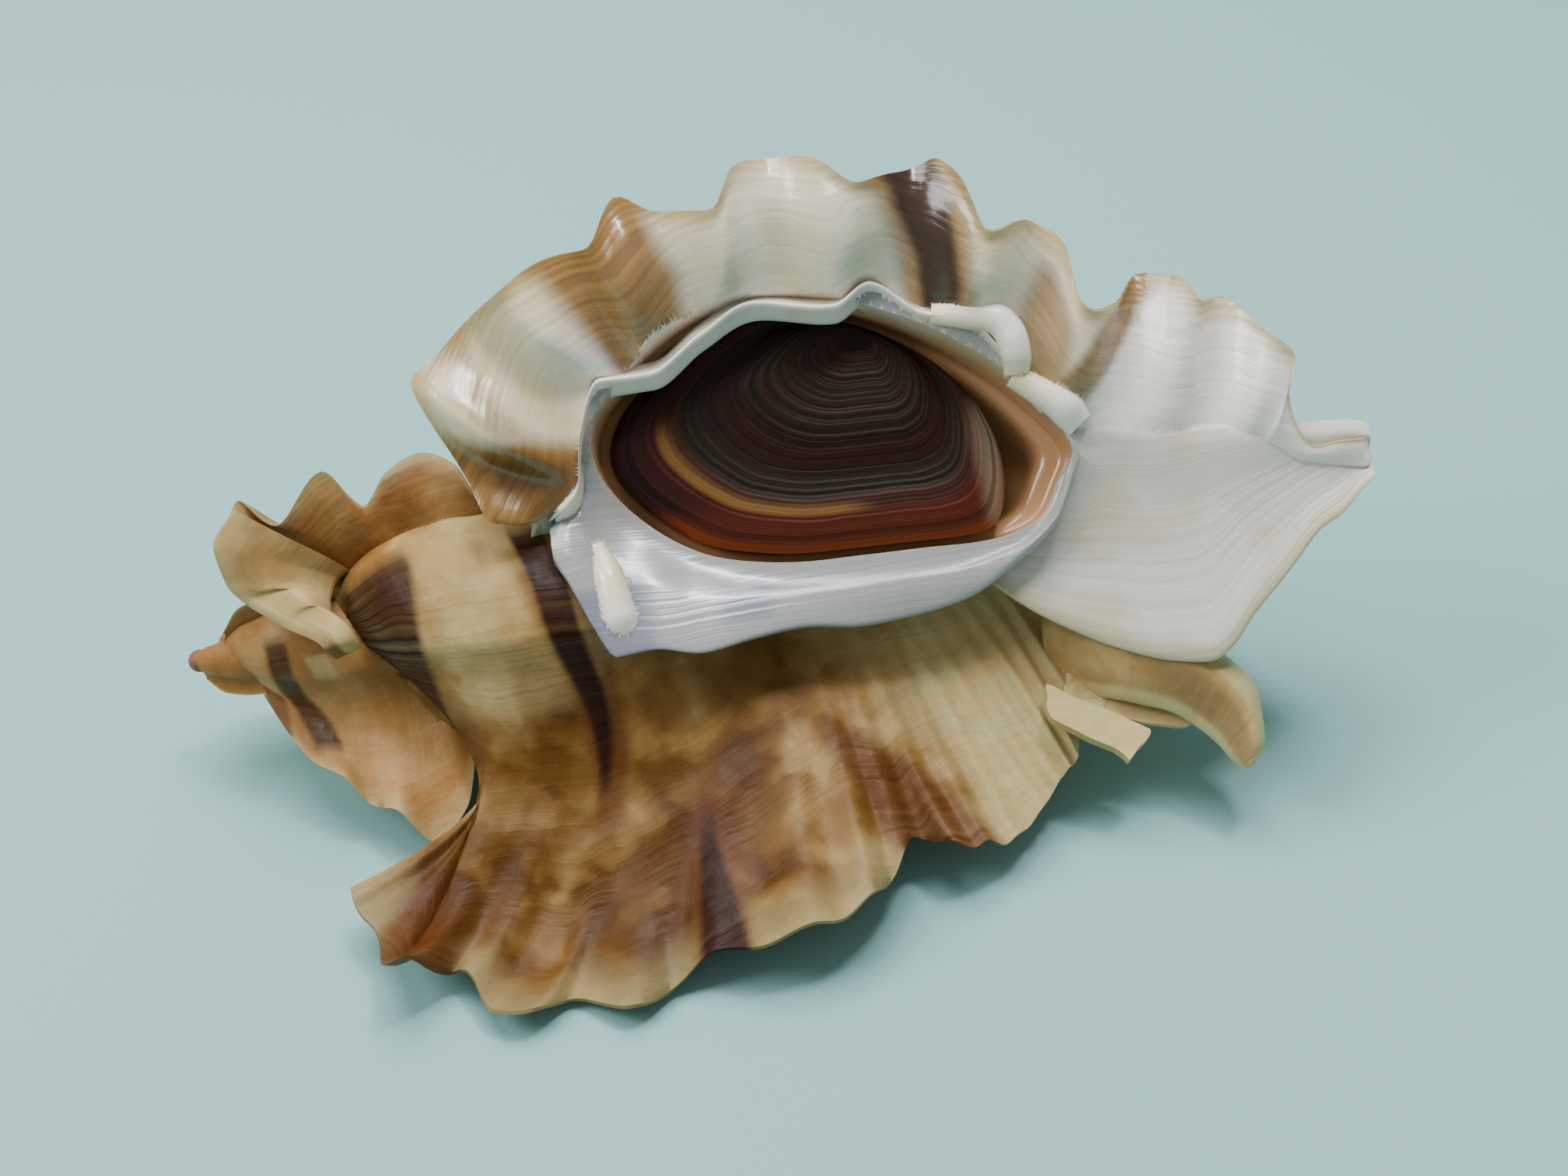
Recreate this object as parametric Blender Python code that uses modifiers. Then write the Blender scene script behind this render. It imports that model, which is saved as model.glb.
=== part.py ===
"""A Burnett's murex, Ceratostoma burnettii, with its operculum, lying on its two older wings.

The shell is built in its own frame: height along the axis from the apex toward the canal, radius
from the axis, and azimuth about it. Azimuth 0 faces the viewer and 90 faces up. The shell grew
with falling azimuth, and time is counted in turns back from the finished lip.
"""
import math

import bmesh
import bpy
import numpy as np
from mathutils import Matrix, Vector

# Lengths below are millimetres and angles are degrees; the model is in metres.
MM = 0.001

# How the shell lies: the axis rises toward the canal and turns away from the viewer.
AXIS_RISE = 5.6
AXIS_TURN = 6.4
APEX_PLACE = (-48.84, -0.15, 10.2)

# Growth of the whorls.
LIP_AZIMUTH = 100.0
LIP_SUTURE = 31.0
WHORL_LENGTH = 40.0
WHORL_RADIUS = 22.5

# The growth segments cross themselves a little inside the whorls, where an exact union fails.
BOOLEAN_SOLVER = "MANIFOLD"
CALLUS_STATIONS = 22
FRILL_STATIONS = 10
SHARP_ANGLE = 50.0
# Where an older whorl or a wing's foot lies under the newer growth, as a share of its radius.
BURIED = 0.88
# How thick a wing is at its foot, at its shoulder, past it and at its edge.
FOOT_THICKNESS = 2.4
SHOULDER_THICKNESS = 1.7
WING_THICKNESS = 2.2
EDGE_THICKNESS = 0.5
# How far up a wing its shoulder is, and how strongly an edge hooks back.
SHOULDER_SHARE = 0.35
HOOK_STRENGTH = 1.6
# Shares over which a wing's first border bows and its last one thins.
BOW_REACH = 0.15
END_TAPER = 0.06
LOWER_WING_BOW = 9.0
NUCLEUS_PLACE = (1.0, 0.0, 0.0)
NUCLEUS_RADIUS = 0.95
GROUND_DEPTH = 10.0

# Azimuth of each varix, newest first: the lip, two wings, and the ribs of the spire.
VARIX_AZIMUTHS = (100, 205, 338, 455, 572, 689, 806, 923, 1040, 1157)
SEGMENT_OVERLAP = 16.0
SIDE_FLATNESS = (0.02, 0.105, 0.0, 0.0, 0.0, 0.0, 0.0, 0.0, 0.0)

# Outline of a whorl between varices: share of its length, and share of its radius.
SECTION = (
    (0.00, 0.40),
    (0.03, 0.58),
    (0.08, 0.78),
    (0.15, 0.93),
    (0.24, 1.00),
    (0.33, 0.98),
    (0.41, 0.87),
    (0.50, 0.64),
    (0.60, 0.42),
    (0.72, 0.31),
    (0.86, 0.25),
    (1.00, 0.14),
)

# Edge of each wing: share of the section, height from the apex, radius, azimuth past the varix,
# and how far the edge hooks back.
LOWER_WING = (
    (0.00, 12.9, 22.6, 0, 10),
    (0.04, 13.4, 24.2, 0, 20),
    (0.09, 14.9, 27.0, 0, 20),
    (0.15, 17.0, 31.0, 0, 60),
    (0.21, 20.6, 30.6, -2, 20),
    (0.27, 23.4, 34.0, -5, 40),
    (0.30, 25.8, 35.4, -7, 50),
    (0.335, 29.3, 33.8, -4, 20),
    (0.37, 33.4, 36.0, -5, 30),
    (0.42, 37.5, 33.8, -2, 10),
    (0.455, 40.6, 32.6, 0, 10),
    (0.50, 44.0, 32.9, 0, 20),
    (0.55, 48.8, 32.3, 0, 20),
    (0.60, 53.0, 30.2, 0, 10),
    (0.63, 55.1, 28.0, 0, 0),
    (0.66, 57.3, 24.9, -4, 0),
    (0.70, 60.8, 26.6, -8, 20),
    (0.75, 64.4, 26.3, -10, 10),
    (0.80, 68.0, 23.6, -12, 0),
    (0.86, 70.4, 21.0, -13, 0),
    (0.92, 71.8, 19.8, -14, 0),
    (0.96, 72.4, 16.0, -12, 0),
    (0.98, 72.2, 10.8, -10, 0),
    (1.00, 70.4, 3.6, 0, 0),
)
BACK_WING = (
    (0.00, 24.6, 7.5, 10, 0),
    (0.03, 24.0, 15.0, 5, 0),
    (0.07, 20.5, 19.0, 0, 20),
    (0.11, 21.0, 22.5, 0, 30),
    (0.16, 26.0, 23.4, 0, 10),
    (0.21, 31.0, 26.4, 0, 25),
    (0.27, 36.5, 24.8, 0, 10),
    (0.33, 42.0, 28.2, 0, 25),
    (0.39, 47.5, 26.6, 0, 10),
    (0.45, 53.5, 31.0, 2, 25),
    (0.51, 58.0, 28.2, 4, 10),
    (0.58, 64.5, 31.0, 8, 20),
    (0.64, 67.0, 21.0, 0, 0),
    (0.72, 73.0, 20.0, 0, 15),
    (0.82, 80.0, 15.0, 0, 0),
    (0.92, 83.6, 9.0, 0, 0),
    (1.00, 84.8, 3.8, 0, 0),
)
SPIRE_WING = (
    (0.000, 7.4, 13.6, 0, 0),
    (0.020, 8.0, 14.2, 0, 10),
    (0.060, 10.8, 12.2, 0, 0),
    (0.105, 15.0, 15.6, 0, 20),
    (0.140, 17.6, 11.8, 6, 0),
    (0.170, 19.6, 13.6, 14, 0),
    (0.200, 22.3, 14.4, 18, 0),
    (0.250, 25.2, 13.6, 14, 0),
    (0.300, 27.2, 11.2, 0, 0),
    (0.400, 32.0, 10.2, 0, 0),
    (0.500, 37.0, 7.6, 0, 0),
)
HIDDEN_WING = (
    (0.00, 5.9, 3.5, 0, 0),
    (0.05, 8.0, 7.6, 0, 0),
    (0.10, 9.6, 10.0, 0, 20),
    (0.16, 12.6, 12.6, 0, 20),
    (0.23, 14.0, 14.4, 0, 0),
    (0.30, 16.6, 16.0, 0, 20),
    (0.37, 19.0, 18.4, 0, 0),
    (0.44, 22.0, 16.0, 0, 0),
    (0.50, 24.0, 5.5, 0, 0),
)
SPIRE_RIB = (
    (0.00, 5.9, 3.5, 0, 0),
    (0.10, 8.6, 7.0, 0, 0),
    (0.22, 12.8, 8.2, 0, 0),
    (0.36, 18.0, 7.6, 0, 0),
    (0.50, 23.2, 4.8, 0, 0),
)

# Edge of the lip's wing: share, height, then offset and depth in the aperture's plane, and hook.
APERTURE_FACING = 45.0
LIP_WING = (
    (0.00, 31.0, 6.3, 10.0, 0),
    (0.02, 28.6, 6.4, 12.5, 0),
    (0.05, 26.9, 9.3, 14.0, 0),
    (0.08, 25.2, 13.0, 15.0, 10),
    (0.11, 24.8, 16.6, 15.5, 20),
    (0.15, 27.0, 19.3, 16.0, 10),
    (0.19, 31.3, 22.4, 16.5, 10),
    (0.23, 35.4, 24.4, 17.0, 10),
    (0.255, 38.8, 24.8, 17.0, 10),
    (0.285, 42.4, 27.5, 17.0, 30),
    (0.31, 45.6, 26.7, 17.0, 10),
    (0.335, 48.8, 26.5, 17.0, 10),
    (0.36, 51.3, 29.2, 17.0, 20),
    (0.385, 54.3, 29.9, 17.0, 30),
    (0.42, 57.5, 28.7, 17.0, 20),
    (0.45, 60.5, 26.9, 17.0, 10),
    (0.48, 64.0, 27.1, 17.0, 20),
    (0.505, 66.8, 27.6, 17.0, 30),
    (0.52, 68.2, 26.0, 17.0, 20),
    (0.54, 69.5, 22.4, 16.5, 0),
    (0.58, 73.6, 21.8, 16.0, 20),
    (0.61, 75.9, 19.6, 15.0, 0),
    (0.64, 76.3, 16.4, 13.5, 0),
    (0.66, 77.6, 15.7, 12.5, 0),
    (0.68, 79.5, 15.6, 12.0, 0),
    (0.72, 82.6, 17.2, 11.5, 10),
    (0.75, 85.0, 17.0, 11.0, 10),
    (0.77, 86.6, 14.8, 11.0, 0),
    (0.79, 88.7, 14.1, 11.0, 0),
    (0.82, 91.0, 12.0, 11.0, 0),
    (0.85, 92.8, 10.0, 10.5, 0),
    (0.87, 92.0, 7.0, 10.0, 0),
    (0.89, 92.6, 4.0, 9.5, 0),
    (0.91, 94.0, 2.4, 9.0, 0),
    (0.94, 95.8, 2.6, 9.0, 0),
    (0.97, 98.0, 2.6, 8.5, 0),
    (1.00, 98.4, 0.6, 8.4, 0),
)
# The lip's inner rim: share, height, offset and depth in the aperture's plane.
LIP_RIM = (
    (0.00, 31.5, 5.5, 10.5),
    (0.08, 35.4, 8.0, 12.0),
    (0.14, 36.2, 12.0, 12.0),
    (0.20, 38.4, 15.9, 12.0),
    (0.255, 42.4, 15.9, 12.0),
    (0.31, 46.8, 18.4, 12.0),
    (0.36, 51.1, 20.1, 12.0),
    (0.42, 57.4, 18.9, 12.0),
    (0.45, 60.2, 20.2, 12.0),
    (0.50, 64.0, 17.4, 12.0),
    (0.55, 67.7, 15.9, 12.5),
    (0.60, 70.5, 12.0, 12.5),
    (0.64, 73.0, 8.5, 11.5),
    (0.68, 75.5, 6.5, 10.5),
    (0.75, 82.0, 4.6, 9.5),
    (0.82, 88.0, 3.6, 9.0),
    (0.88, 90.6, 2.4, 8.7),
    (0.92, 92.8, 1.2, 8.5),
    (1.00, 98.0, 0.0, 8.2),
)

# The callus: height, and offset and depth of its free edge and of its inner edge.
CALLUS = (
    (32.6, 2.2, 11.3, 5.0, 11.0),
    (33.4, 0.6, 11.6, 5.6, 11.0),
    (35.0, -3.4, 11.8, 7.0, 10.4),
    (36.3, -5.7, 11.8, 6.2, 9.8),
    (39.1, -5.6, 11.8, 4.8, 9.2),
    (43.2, -6.5, 11.3, 2.2, 9.0),
    (47.0, -6.0, 10.4, 0.6, 8.9),
    (51.0, -5.7, 9.6, -0.3, 8.8),
    (56.0, -6.3, 8.8, -0.6, 8.8),
    (60.0, -6.1, 8.4, -0.8, 8.8),
    (64.4, -5.4, 8.6, -1.2, 8.8),
    (69.0, -3.1, 9.4, -1.0, 8.8),
    (72.2, -0.7, 10.2, 1.0, 9.0),
    (74.2, 3.0, 10.6, 4.0, 9.4),
    (74.8, 4.0, 10.5, 4.8, 9.6),
)
# The spire's frill wraps round the suture: azimuth, height and radius of its edge and its foot.
FRILL = (
    (28.0, 14.0, 7.2, 14.0, 6.0),
    (38.0, 13.6, 9.4, 13.8, 7.0),
    (53.0, 10.4, 8.6, 13.6, 6.4),
    (67.0, 7.8, 8.6, 13.6, 6.2),
    (77.0, 6.2, 9.6, 13.8, 6.2),
    (87.0, 5.8, 12.0, 14.2, 6.4),
    (95.0, 7.9, 14.1, 15.0, 6.6),
)
FRILL_THICKNESS = 1.0

# The hole that the operculum closes, at its level: height and offset.
APERTURE = (
    (37.0, 10.3),
    (37.8, 13.0),
    (39.6, 14.9),
    (43.0, 17.6),
    (46.6, 19.4),
    (51.0, 20.2),
    (55.6, 19.7),
    (60.0, 18.1),
    (64.4, 15.6),
    (68.4, 12.5),
    (71.2, 9.6),
    (73.4, 6.8),
    (74.2, 4.8),
    (73.2, 2.8),
    (71.5, 0.3),
    (69.0, -0.8),
    (66.0, -1.1),
    (62.0, -0.9),
    (57.0, -0.7),
    (51.3, -0.4),
    (46.0, 0.7),
    (42.6, 2.4),
    (39.6, 5.0),
    (37.6, 7.8),
)
APERTURE_MIDDLE = (53.0, 9.0)
# Levels of the hollow: depth in the aperture's plane, and share of the hole's size.
HOLLOW_LEVELS = ((20.0, 1.10), (12.6, 1.04), (9.0, 1.00), (4.0, 0.85), (-3.0, 0.55), (-7.0, 0.2))

# The canal's plate: height, offset and depth of its free edge, and of its closed seam.
CANAL_PLATE = (
    (64.0, -1.0, 4.0, 3.5, 6.0),
    (68.0, -5.5, 7.0, 5.0, 8.4),
    (72.0, -8.5, 7.5, 6.2, 9.4),
    (76.0, -10.8, 8.0, 6.2, 10.0),
    (80.0, -12.4, 8.4, 5.1, 9.6),
    (83.0, -12.9, 8.6, 4.6, 9.4),
    (84.8, -12.0, 8.8, 4.4, 9.3),
    (87.0, -9.8, 8.8, 4.1, 9.2),
    (88.8, -8.3, 8.8, 3.9, 9.1),
    (91.0, -6.4, 8.8, 3.6, 9.0),
    (93.2, -4.4, 8.8, 3.2, 8.9),
    (95.5, -3.2, 8.7, 3.0, 8.8),
    (97.2, -1.8, 8.5, 2.8, 8.6),
    (98.5, -0.8, 8.4, 2.4, 8.5),
)
# The older canal's horn: height and radius of its upper and its lower edge, azimuth, thickness.
HORN = (
    (71.0, 5.0, 70.5, 12.0, -40, 3.0),
    (74.0, 6.6, 73.6, 15.0, -32, 3.8),
    (77.4, 7.6, 76.4, 16.6, -26, 4.0),
    (81.3, 10.4, 79.2, 17.8, -26, 3.6),
    (84.6, 13.3, 81.2, 19.2, -28, 3.2),
    (87.0, 17.3, 82.8, 21.0, -29, 2.6),
    (86.8, 20.8, 83.7, 22.4, -30, 2.0),
    (85.6, 22.9, 84.4, 23.3, -30, 1.0),
)
# Broken ends of the older canals below the horn: height and radius of their outlines.
CANAL_STUB = ((70.0, 14.0), (73.5, 16.4), (77.5, 19.1), (75.4, 21.3), (74.4, 20.2), (70.0, 17.0))
CANAL_FLAP = ((72.0, 13.0), (79.0, 16.0), (81.6, 18.4), (80.8, 19.0), (77.5, 18.2), (72.0, 15.4))
# The labral tooth's fold and the last lobe of the lip: height, offset, depth and thickness.
TOOTH = (
    (64.8, 17.0, 12.3, 0.7),
    (67.8, 16.2, 13.2, 1.0),
    (69.7, 15.5, 13.6, 1.1),
    (70.6, 14.0, 13.6, 1.1),
    (70.8, 12.2, 13.2, 1.0),
    (70.6, 11.0, 12.2, 0.8),
)
LAST_LOBE = (
    (70.4, 11.2, 12.0, 0.8),
    (72.6, 9.4, 12.0, 1.0),
    (74.2, 8.0, 11.6, 1.2),
    (75.2, 6.6, 10.8, 1.0),
)
ANAL_FOLD = (
    (36.2, 3.2, 11.0, 0.6),
    (36.6, -0.4, 12.0, 0.8),
    (36.8, -3.4, 12.2, 0.8),
    (37.2, -5.0, 11.6, 0.6),
)

OPERCULUM = (
    (38.0, 10.4),
    (38.9, 12.6),
    (40.2, 14.2),
    (43.3, 16.7),
    (46.8, 18.6),
    (51.0, 19.4),
    (55.5, 18.9),
    (59.6, 17.4),
    (63.7, 14.7),
    (66.3, 12.0),
    (67.9, 9.5),
    (68.9, 6.2),
    (68.8, 2.9),
    (68.0, 0.6),
    (66.6, -0.3),
    (64.0, -0.4),
    (60.0, -0.2),
    (55.7, 0.0),
    (51.3, 0.3),
    (47.1, 1.2),
    (44.4, 2.2),
    (41.9, 4.0),
    (39.9, 6.0),
    (38.4, 8.1),
)
OPERCULUM_NUCLEUS = (59.5, 16.0)
OPERCULUM_DEPTH = 8.8
OPERCULUM_THICKNESS = 1.5


def smooth_curve(nodes, x):
    """Cubic curve through nodes (x, y, ...), with no overshoot past a node that is a peak."""
    table = np.asarray(nodes, float)
    knots, values = table[:, 0], table[:, 1:]
    steps = np.diff(values, axis=0) / np.diff(knots)[:, None]
    slopes = np.zeros_like(values)
    slopes[0], slopes[-1] = steps[0], steps[-1]
    same_way = steps[:-1] * steps[1:] > 0
    mean = 2 * steps[:-1] * steps[1:] / np.where(same_way, steps[:-1] + steps[1:], 1)
    slopes[1:-1] = np.where(same_way, mean, 0)
    x = np.clip(np.asarray(x, float), knots[0], knots[-1])
    i = np.clip(np.searchsorted(knots, x, side="right") - 1, 0, len(knots) - 2)
    width = knots[i + 1] - knots[i]
    s = ((x - knots[i]) / width)[:, None]
    width = width[:, None]
    rise = 3 * s**2 - 2 * s**3
    return (
        values[i] * (1 - rise)
        + values[i + 1] * rise
        + slopes[i] * width * s * (1 - s) ** 2
        - slopes[i + 1] * width * s**2 * (1 - s)
    )


def point(height, radius, azimuth):
    """A place in the shell's frame: x along the axis, y away from the viewer, z up."""
    angle = np.radians(azimuth)
    return np.stack(np.broadcast_arrays(height, -radius * np.cos(angle), radius * np.sin(angle)), -1)


def facing_point(height, offset, depth):
    """A place given by its offset and depth against the plane that the aperture faces."""
    angle = math.radians(APERTURE_FACING)
    front = depth * math.cos(angle) - offset * math.sin(angle)
    rise = depth * math.sin(angle) + offset * math.cos(angle)
    return np.stack(np.broadcast_arrays(height, -front, rise), -1)


def backward(azimuth):
    """The direction against growth, about the axis."""
    angle = np.radians(azimuth)
    return np.stack(np.broadcast_arrays(0.0, np.sin(angle), np.cos(angle)), -1)


def turns_back(azimuth):
    return (azimuth - LIP_AZIMUTH) / 360


def suture_height(turns):
    return LIP_SUTURE * np.exp(-0.67 * turns - 0.22 * turns**2)


def whorl_length(turns):
    return WHORL_LENGTH * np.exp(-0.5 * turns)


def whorl_radius(turns):
    return WHORL_RADIUS * np.exp(-0.76 * turns - 0.02 * turns**2)


def side_flatness(azimuth):
    """How much flatter the whorl is between two varices than a true spiral."""
    azimuth = np.asarray(azimuth, float)
    newest = np.array(VARIX_AZIMUTHS[:-1], float)
    i = np.clip(np.searchsorted(newest, azimuth, side="right") - 1, 0, len(newest) - 1)
    gap = np.array(VARIX_AZIMUTHS[1:], float) - newest
    past = np.clip((azimuth - newest[i]) / gap[i], 0, 1)
    return 1 - np.array(SIDE_FLATNESS)[i] * np.sin(math.pi * past) ** 2


def body_point(share, azimuth, canal_length, sink=1.0):
    """The whorl's outer surface between varices, or what lies a share of its radius under it."""
    turns = turns_back(azimuth)
    height = (
        suture_height(turns)
        + whorl_length(turns) * np.minimum(share / 0.5, 1)
        + canal_length * np.maximum(share - 0.5, 0) / 0.5
    )
    girth = smooth_curve(SECTION, share)[:, 0]
    radius = whorl_radius(turns) * side_flatness(azimuth) * girth * sink
    return point(height, radius, azimuth)


def hooked_sheet(base, edge, hook, back, count):
    """Rows from base to edge along a sheet that bends back near its edge, and their rear normals."""
    steps = 24
    along = [np.zeros(len(base))]
    behind = [np.zeros(len(base))]
    bends = [np.zeros(len(base))]
    for step in range(steps):
        bends.append(np.radians(hook) * HOOK_STRENGTH * max((step + 0.5) / steps - 0.5, 0) / 0.5)
        along.append(along[-1] + np.cos(bends[-1]) / steps)
        behind.append(behind[-1] + np.sin(bends[-1]) / steps)
    along = np.array(along) / np.max(along, axis=0)
    reach = edge - base
    length = np.linalg.norm(reach, axis=-1)[:, None]
    outward = reach / length
    rows, normals = [], []
    for i in range(count + 1):
        at = round(i / count * steps)
        rows.append(base + reach * along[at][:, None] + back * length * behind[at][:, None])
        bend = bends[at][:, None]
        normals.append(back * np.cos(bend) - outward * np.sin(bend))
    return rows, normals


def finish_mesh(name, mesh):
    bmesh.ops.triangulate(mesh, faces=mesh.faces)
    bmesh.ops.recalc_face_normals(mesh, faces=mesh.faces)
    if mesh.calc_volume(signed=True) < 0:
        bmesh.ops.reverse_faces(mesh, faces=mesh.faces)
    data = bpy.data.meshes.new(name)
    mesh.to_mesh(data)
    mesh.free()
    made = bpy.data.objects.new(name, data)
    bpy.context.scene.collection.objects.link(made)
    return made


def loft_wedge(name, rows, core_line, shoulder, low, sheet_count):
    """A closed solid through rows that turn about the axis, with walls at both ends to its core.

    Past the shoulder, which is that row and that many rows up the wing, the wing is thin and its
    own two sides are joined at both ends.
    """
    mesh = bmesh.new()
    core = [mesh.verts.new(p) for p in core_line]
    grid = [[mesh.verts.new(p) for p in row] for row in rows]
    inner = grid[: shoulder + 1] + grid[len(grid) - 1 - low :]
    for near, far in zip(inner, inner[1:]):
        mesh.faces.new((core[0], far[0], near[0]))
        mesh.faces.new((core[-1], near[-1], far[-1]))
    for step in range(sheet_count - low):
        rear, rear_out = grid[shoulder + step], grid[shoulder + step + 1]
        front, front_out = grid[len(grid) - 1 - low - step], grid[len(grid) - 2 - low - step]
        mesh.faces.new((rear[0], front[0], front_out[0], rear_out[0]))
        mesh.faces.new((rear[-1], rear_out[-1], front_out[-1], front[-1]))
    for near, far in zip(grid, grid[1:]):
        for j in range(len(near) - 1):
            mesh.faces.new((near[j], far[j], far[j + 1], near[j + 1]))
    for j in range(len(core) - 1):
        mesh.faces.new((core[j], grid[0][j], grid[0][j + 1], core[j + 1]))
        mesh.faces.new((core[j + 1], grid[-1][j + 1], grid[-1][j], core[j]))
    return finish_mesh(name, mesh)


def loft_rings(name, rings):
    """A closed solid through rings of equal count, with flat ends."""
    mesh = bmesh.new()
    grid = [[mesh.verts.new(p) for p in ring] for ring in rings]
    count = len(grid[0])
    for near, far in zip(grid, grid[1:]):
        for j in range(count):
            k = (j + 1) % count
            mesh.faces.new((near[j], far[j], far[k], near[k]))
    mesh.faces.new(grid[0])
    mesh.faces.new(grid[-1][::-1])
    return finish_mesh(name, mesh)


def columns_of(nodes, per_gap):
    """Shares at every node of an edge, with more between them."""
    shares = np.array([node[0] for node in nodes])
    spread = [np.linspace(a, b, per_gap, endpoint=False) for a, b in zip(shares, shares[1:])]
    return np.append(np.concatenate(spread), shares[-1])


def varix_segment(index, nodes, canal_length, fillet_angle, per_gap, counts, bow=0.0):
    """The growth between two varices, with the newer one's wing at its end.

    The wing's border toward the apex bows that far toward the canal.
    """
    newest = VARIX_AZIMUTHS[index]
    oldest = VARIX_AZIMUTHS[index + 1] + SEGMENT_OVERLAP
    share = columns_of(nodes, per_gap)
    edge_at = smooth_curve(nodes, share)
    if index == 0:
        rim = smooth_curve(LIP_RIM, share)
        base = facing_point(rim[:, 0], rim[:, 1], rim[:, 2])
        edge = facing_point(edge_at[:, 0], edge_at[:, 1], edge_at[:, 2])
        back = backward(newest)
    else:
        base = body_point(share, newest, canal_length, BURIED)
        edge = point(edge_at[:, 0], edge_at[:, 1], newest + edge_at[:, 2])
        back = backward(newest + 0.5 * edge_at[:, 2])
    body_count, fillet_count, sheet_count = counts
    sheet, normals = hooked_sheet(base, edge, edge_at[:, 3], back, sheet_count)
    for i, row in enumerate(sheet):
        lean = bow * math.sin(math.pi * i / sheet_count) * np.clip(1 - share / BOW_REACH, 0, 1)
        row[:, 0] += lean
    girth = smooth_curve(SECTION, share)[:, :1]
    ending = np.clip((share[-1] - share[:, None]) / END_TAPER, 0.15, 1)
    scale = whorl_radius(turns_back(newest)) / WHORL_RADIUS * np.minimum(girth / 0.4, ending)

    rows = [body_point(share, oldest, canal_length, BURIED)]
    for at in np.linspace(VARIX_AZIMUTHS[index + 1] - 4, newest + fillet_angle, body_count):
        rows.append(body_point(share, at, canal_length))
    last_body = rows[-1]
    low = max(1, round(SHOULDER_SHARE * sheet_count))
    foot = sheet[0] + back * FOOT_THICKNESS * scale
    shoulder = sheet[low] + normals[low] * SHOULDER_THICKNESS * scale
    for i in range(1, fillet_count + 1):
        s = i / fillet_count
        rows.append(last_body * (1 - s) ** 2 + foot * 2 * s * (1 - s) + shoulder * s**2)
    for i in range(low + 1, sheet_count + 1):
        thick = WING_THICKNESS * (1 - i / sheet_count) ** 0.8 + EDGE_THICKNESS
        rows.append(sheet[i] + normals[i] * thick * scale)
    rows.extend(reversed(sheet))
    middle = (newest + oldest) / 2
    heights = body_point(share, middle, canal_length)[:, 0]
    core = point(heights, -0.05 * whorl_radius(turns_back(newest)), middle)
    return loft_wedge(f"segment_{index}", rows, core, body_count + fillet_count, low, sheet_count)


def spire_edge(index, pattern_index, pattern):
    """A wing of the spire: an older copy of a pattern, shrunk about the suture."""
    older = turns_back(VARIX_AZIMUTHS[index])
    newer = turns_back(VARIX_AZIMUTHS[pattern_index])
    shrink = whorl_radius(older) / whorl_radius(newer)
    lift = whorl_length(older) / whorl_length(newer)
    return [
        (s, suture_height(older) + (a - suture_height(newer)) * lift, r * shrink, turn, hook)
        for s, a, r, turn, hook in pattern
    ]


def spire_frill():
    """The cup of the spire's last wing, where it wraps round the suture."""
    mesh = bmesh.new()
    azimuths = np.linspace(FRILL[0][0], FRILL[-1][0], FRILL_STATIONS)
    columns = smooth_curve(FRILL, azimuths)
    grid = []
    for azimuth, (edge_a, edge_r, foot_a, foot_r) in zip(azimuths, columns):
        shares = np.linspace(0, 1, 4)
        line = point(foot_a + (edge_a - foot_a) * shares, foot_r + (edge_r - foot_r) * shares, azimuth)
        grid.append([mesh.verts.new(p) for p in line])
    for near, far in zip(grid, grid[1:]):
        for j in range(len(near) - 1):
            mesh.faces.new((near[j], near[j + 1], far[j + 1], far[j]))
    sheet = bpy.data.meshes.new("spire_frill")
    mesh.to_mesh(sheet)
    mesh.free()
    made = bpy.data.objects.new("spire_frill", sheet)
    bpy.context.scene.collection.objects.link(made)
    wall = made.modifiers.new("wall", "SOLIDIFY")
    wall.thickness = FRILL_THICKNESS
    wall.offset = 0.0
    depsgraph = bpy.context.evaluated_depsgraph_get()
    solid = bpy.data.meshes.new_from_object(made.evaluated_get(depsgraph))
    bpy.data.objects.remove(made, do_unlink=True)
    mesh = bmesh.new()
    mesh.from_mesh(solid)
    return finish_mesh("spire_frill", mesh)


def closed_ring(height, outline):
    """A ring of places at one height, from offsets and depths against the aperture's plane."""
    offsets, depths = np.array(outline, float).T
    return facing_point(height, offsets, depths)


def callus_block():
    """The white callus and the wall under it, from the lip's rim to its own free edge."""
    stations = np.linspace(CALLUS[0][0], CALLUS[-1][0], CALLUS_STATIONS)
    rim_nodes = sorted((a, q, d) for _, a, q, d in LIP_RIM[:14])
    rings = []
    for height, edge in zip(stations, smooth_curve(CALLUS, stations)):
        free_q, free_d, inner_q, inner_d = edge
        rim_q, rim_d = smooth_curve(rim_nodes, [height])[0]
        inner_q = min(inner_q, rim_q - 1.0)
        middle = 0.5 * (free_q + inner_q)
        rings.append(
            closed_ring(
                height,
                (
                    (free_q, free_d),
                    (middle, 0.5 * (free_d + inner_d) + 0.5),
                    (inner_q, inner_d),
                    (0.5 * (inner_q + rim_q), 0.5 * (inner_d + rim_d) - 0.6),
                    (rim_q - 0.5, rim_d + 0.3),
                    (rim_q + 0.5, rim_d - 2.0),
                    (0.7 * rim_q, 3.0),
                    (2.0, 1.0),
                    (0.5 * middle, 3.5),
                    (free_q + 0.9, free_d - 1.4),
                    (free_q + 0.1, free_d - 0.7),
                ),
            )
        )
    return loft_rings("callus", rings)


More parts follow.
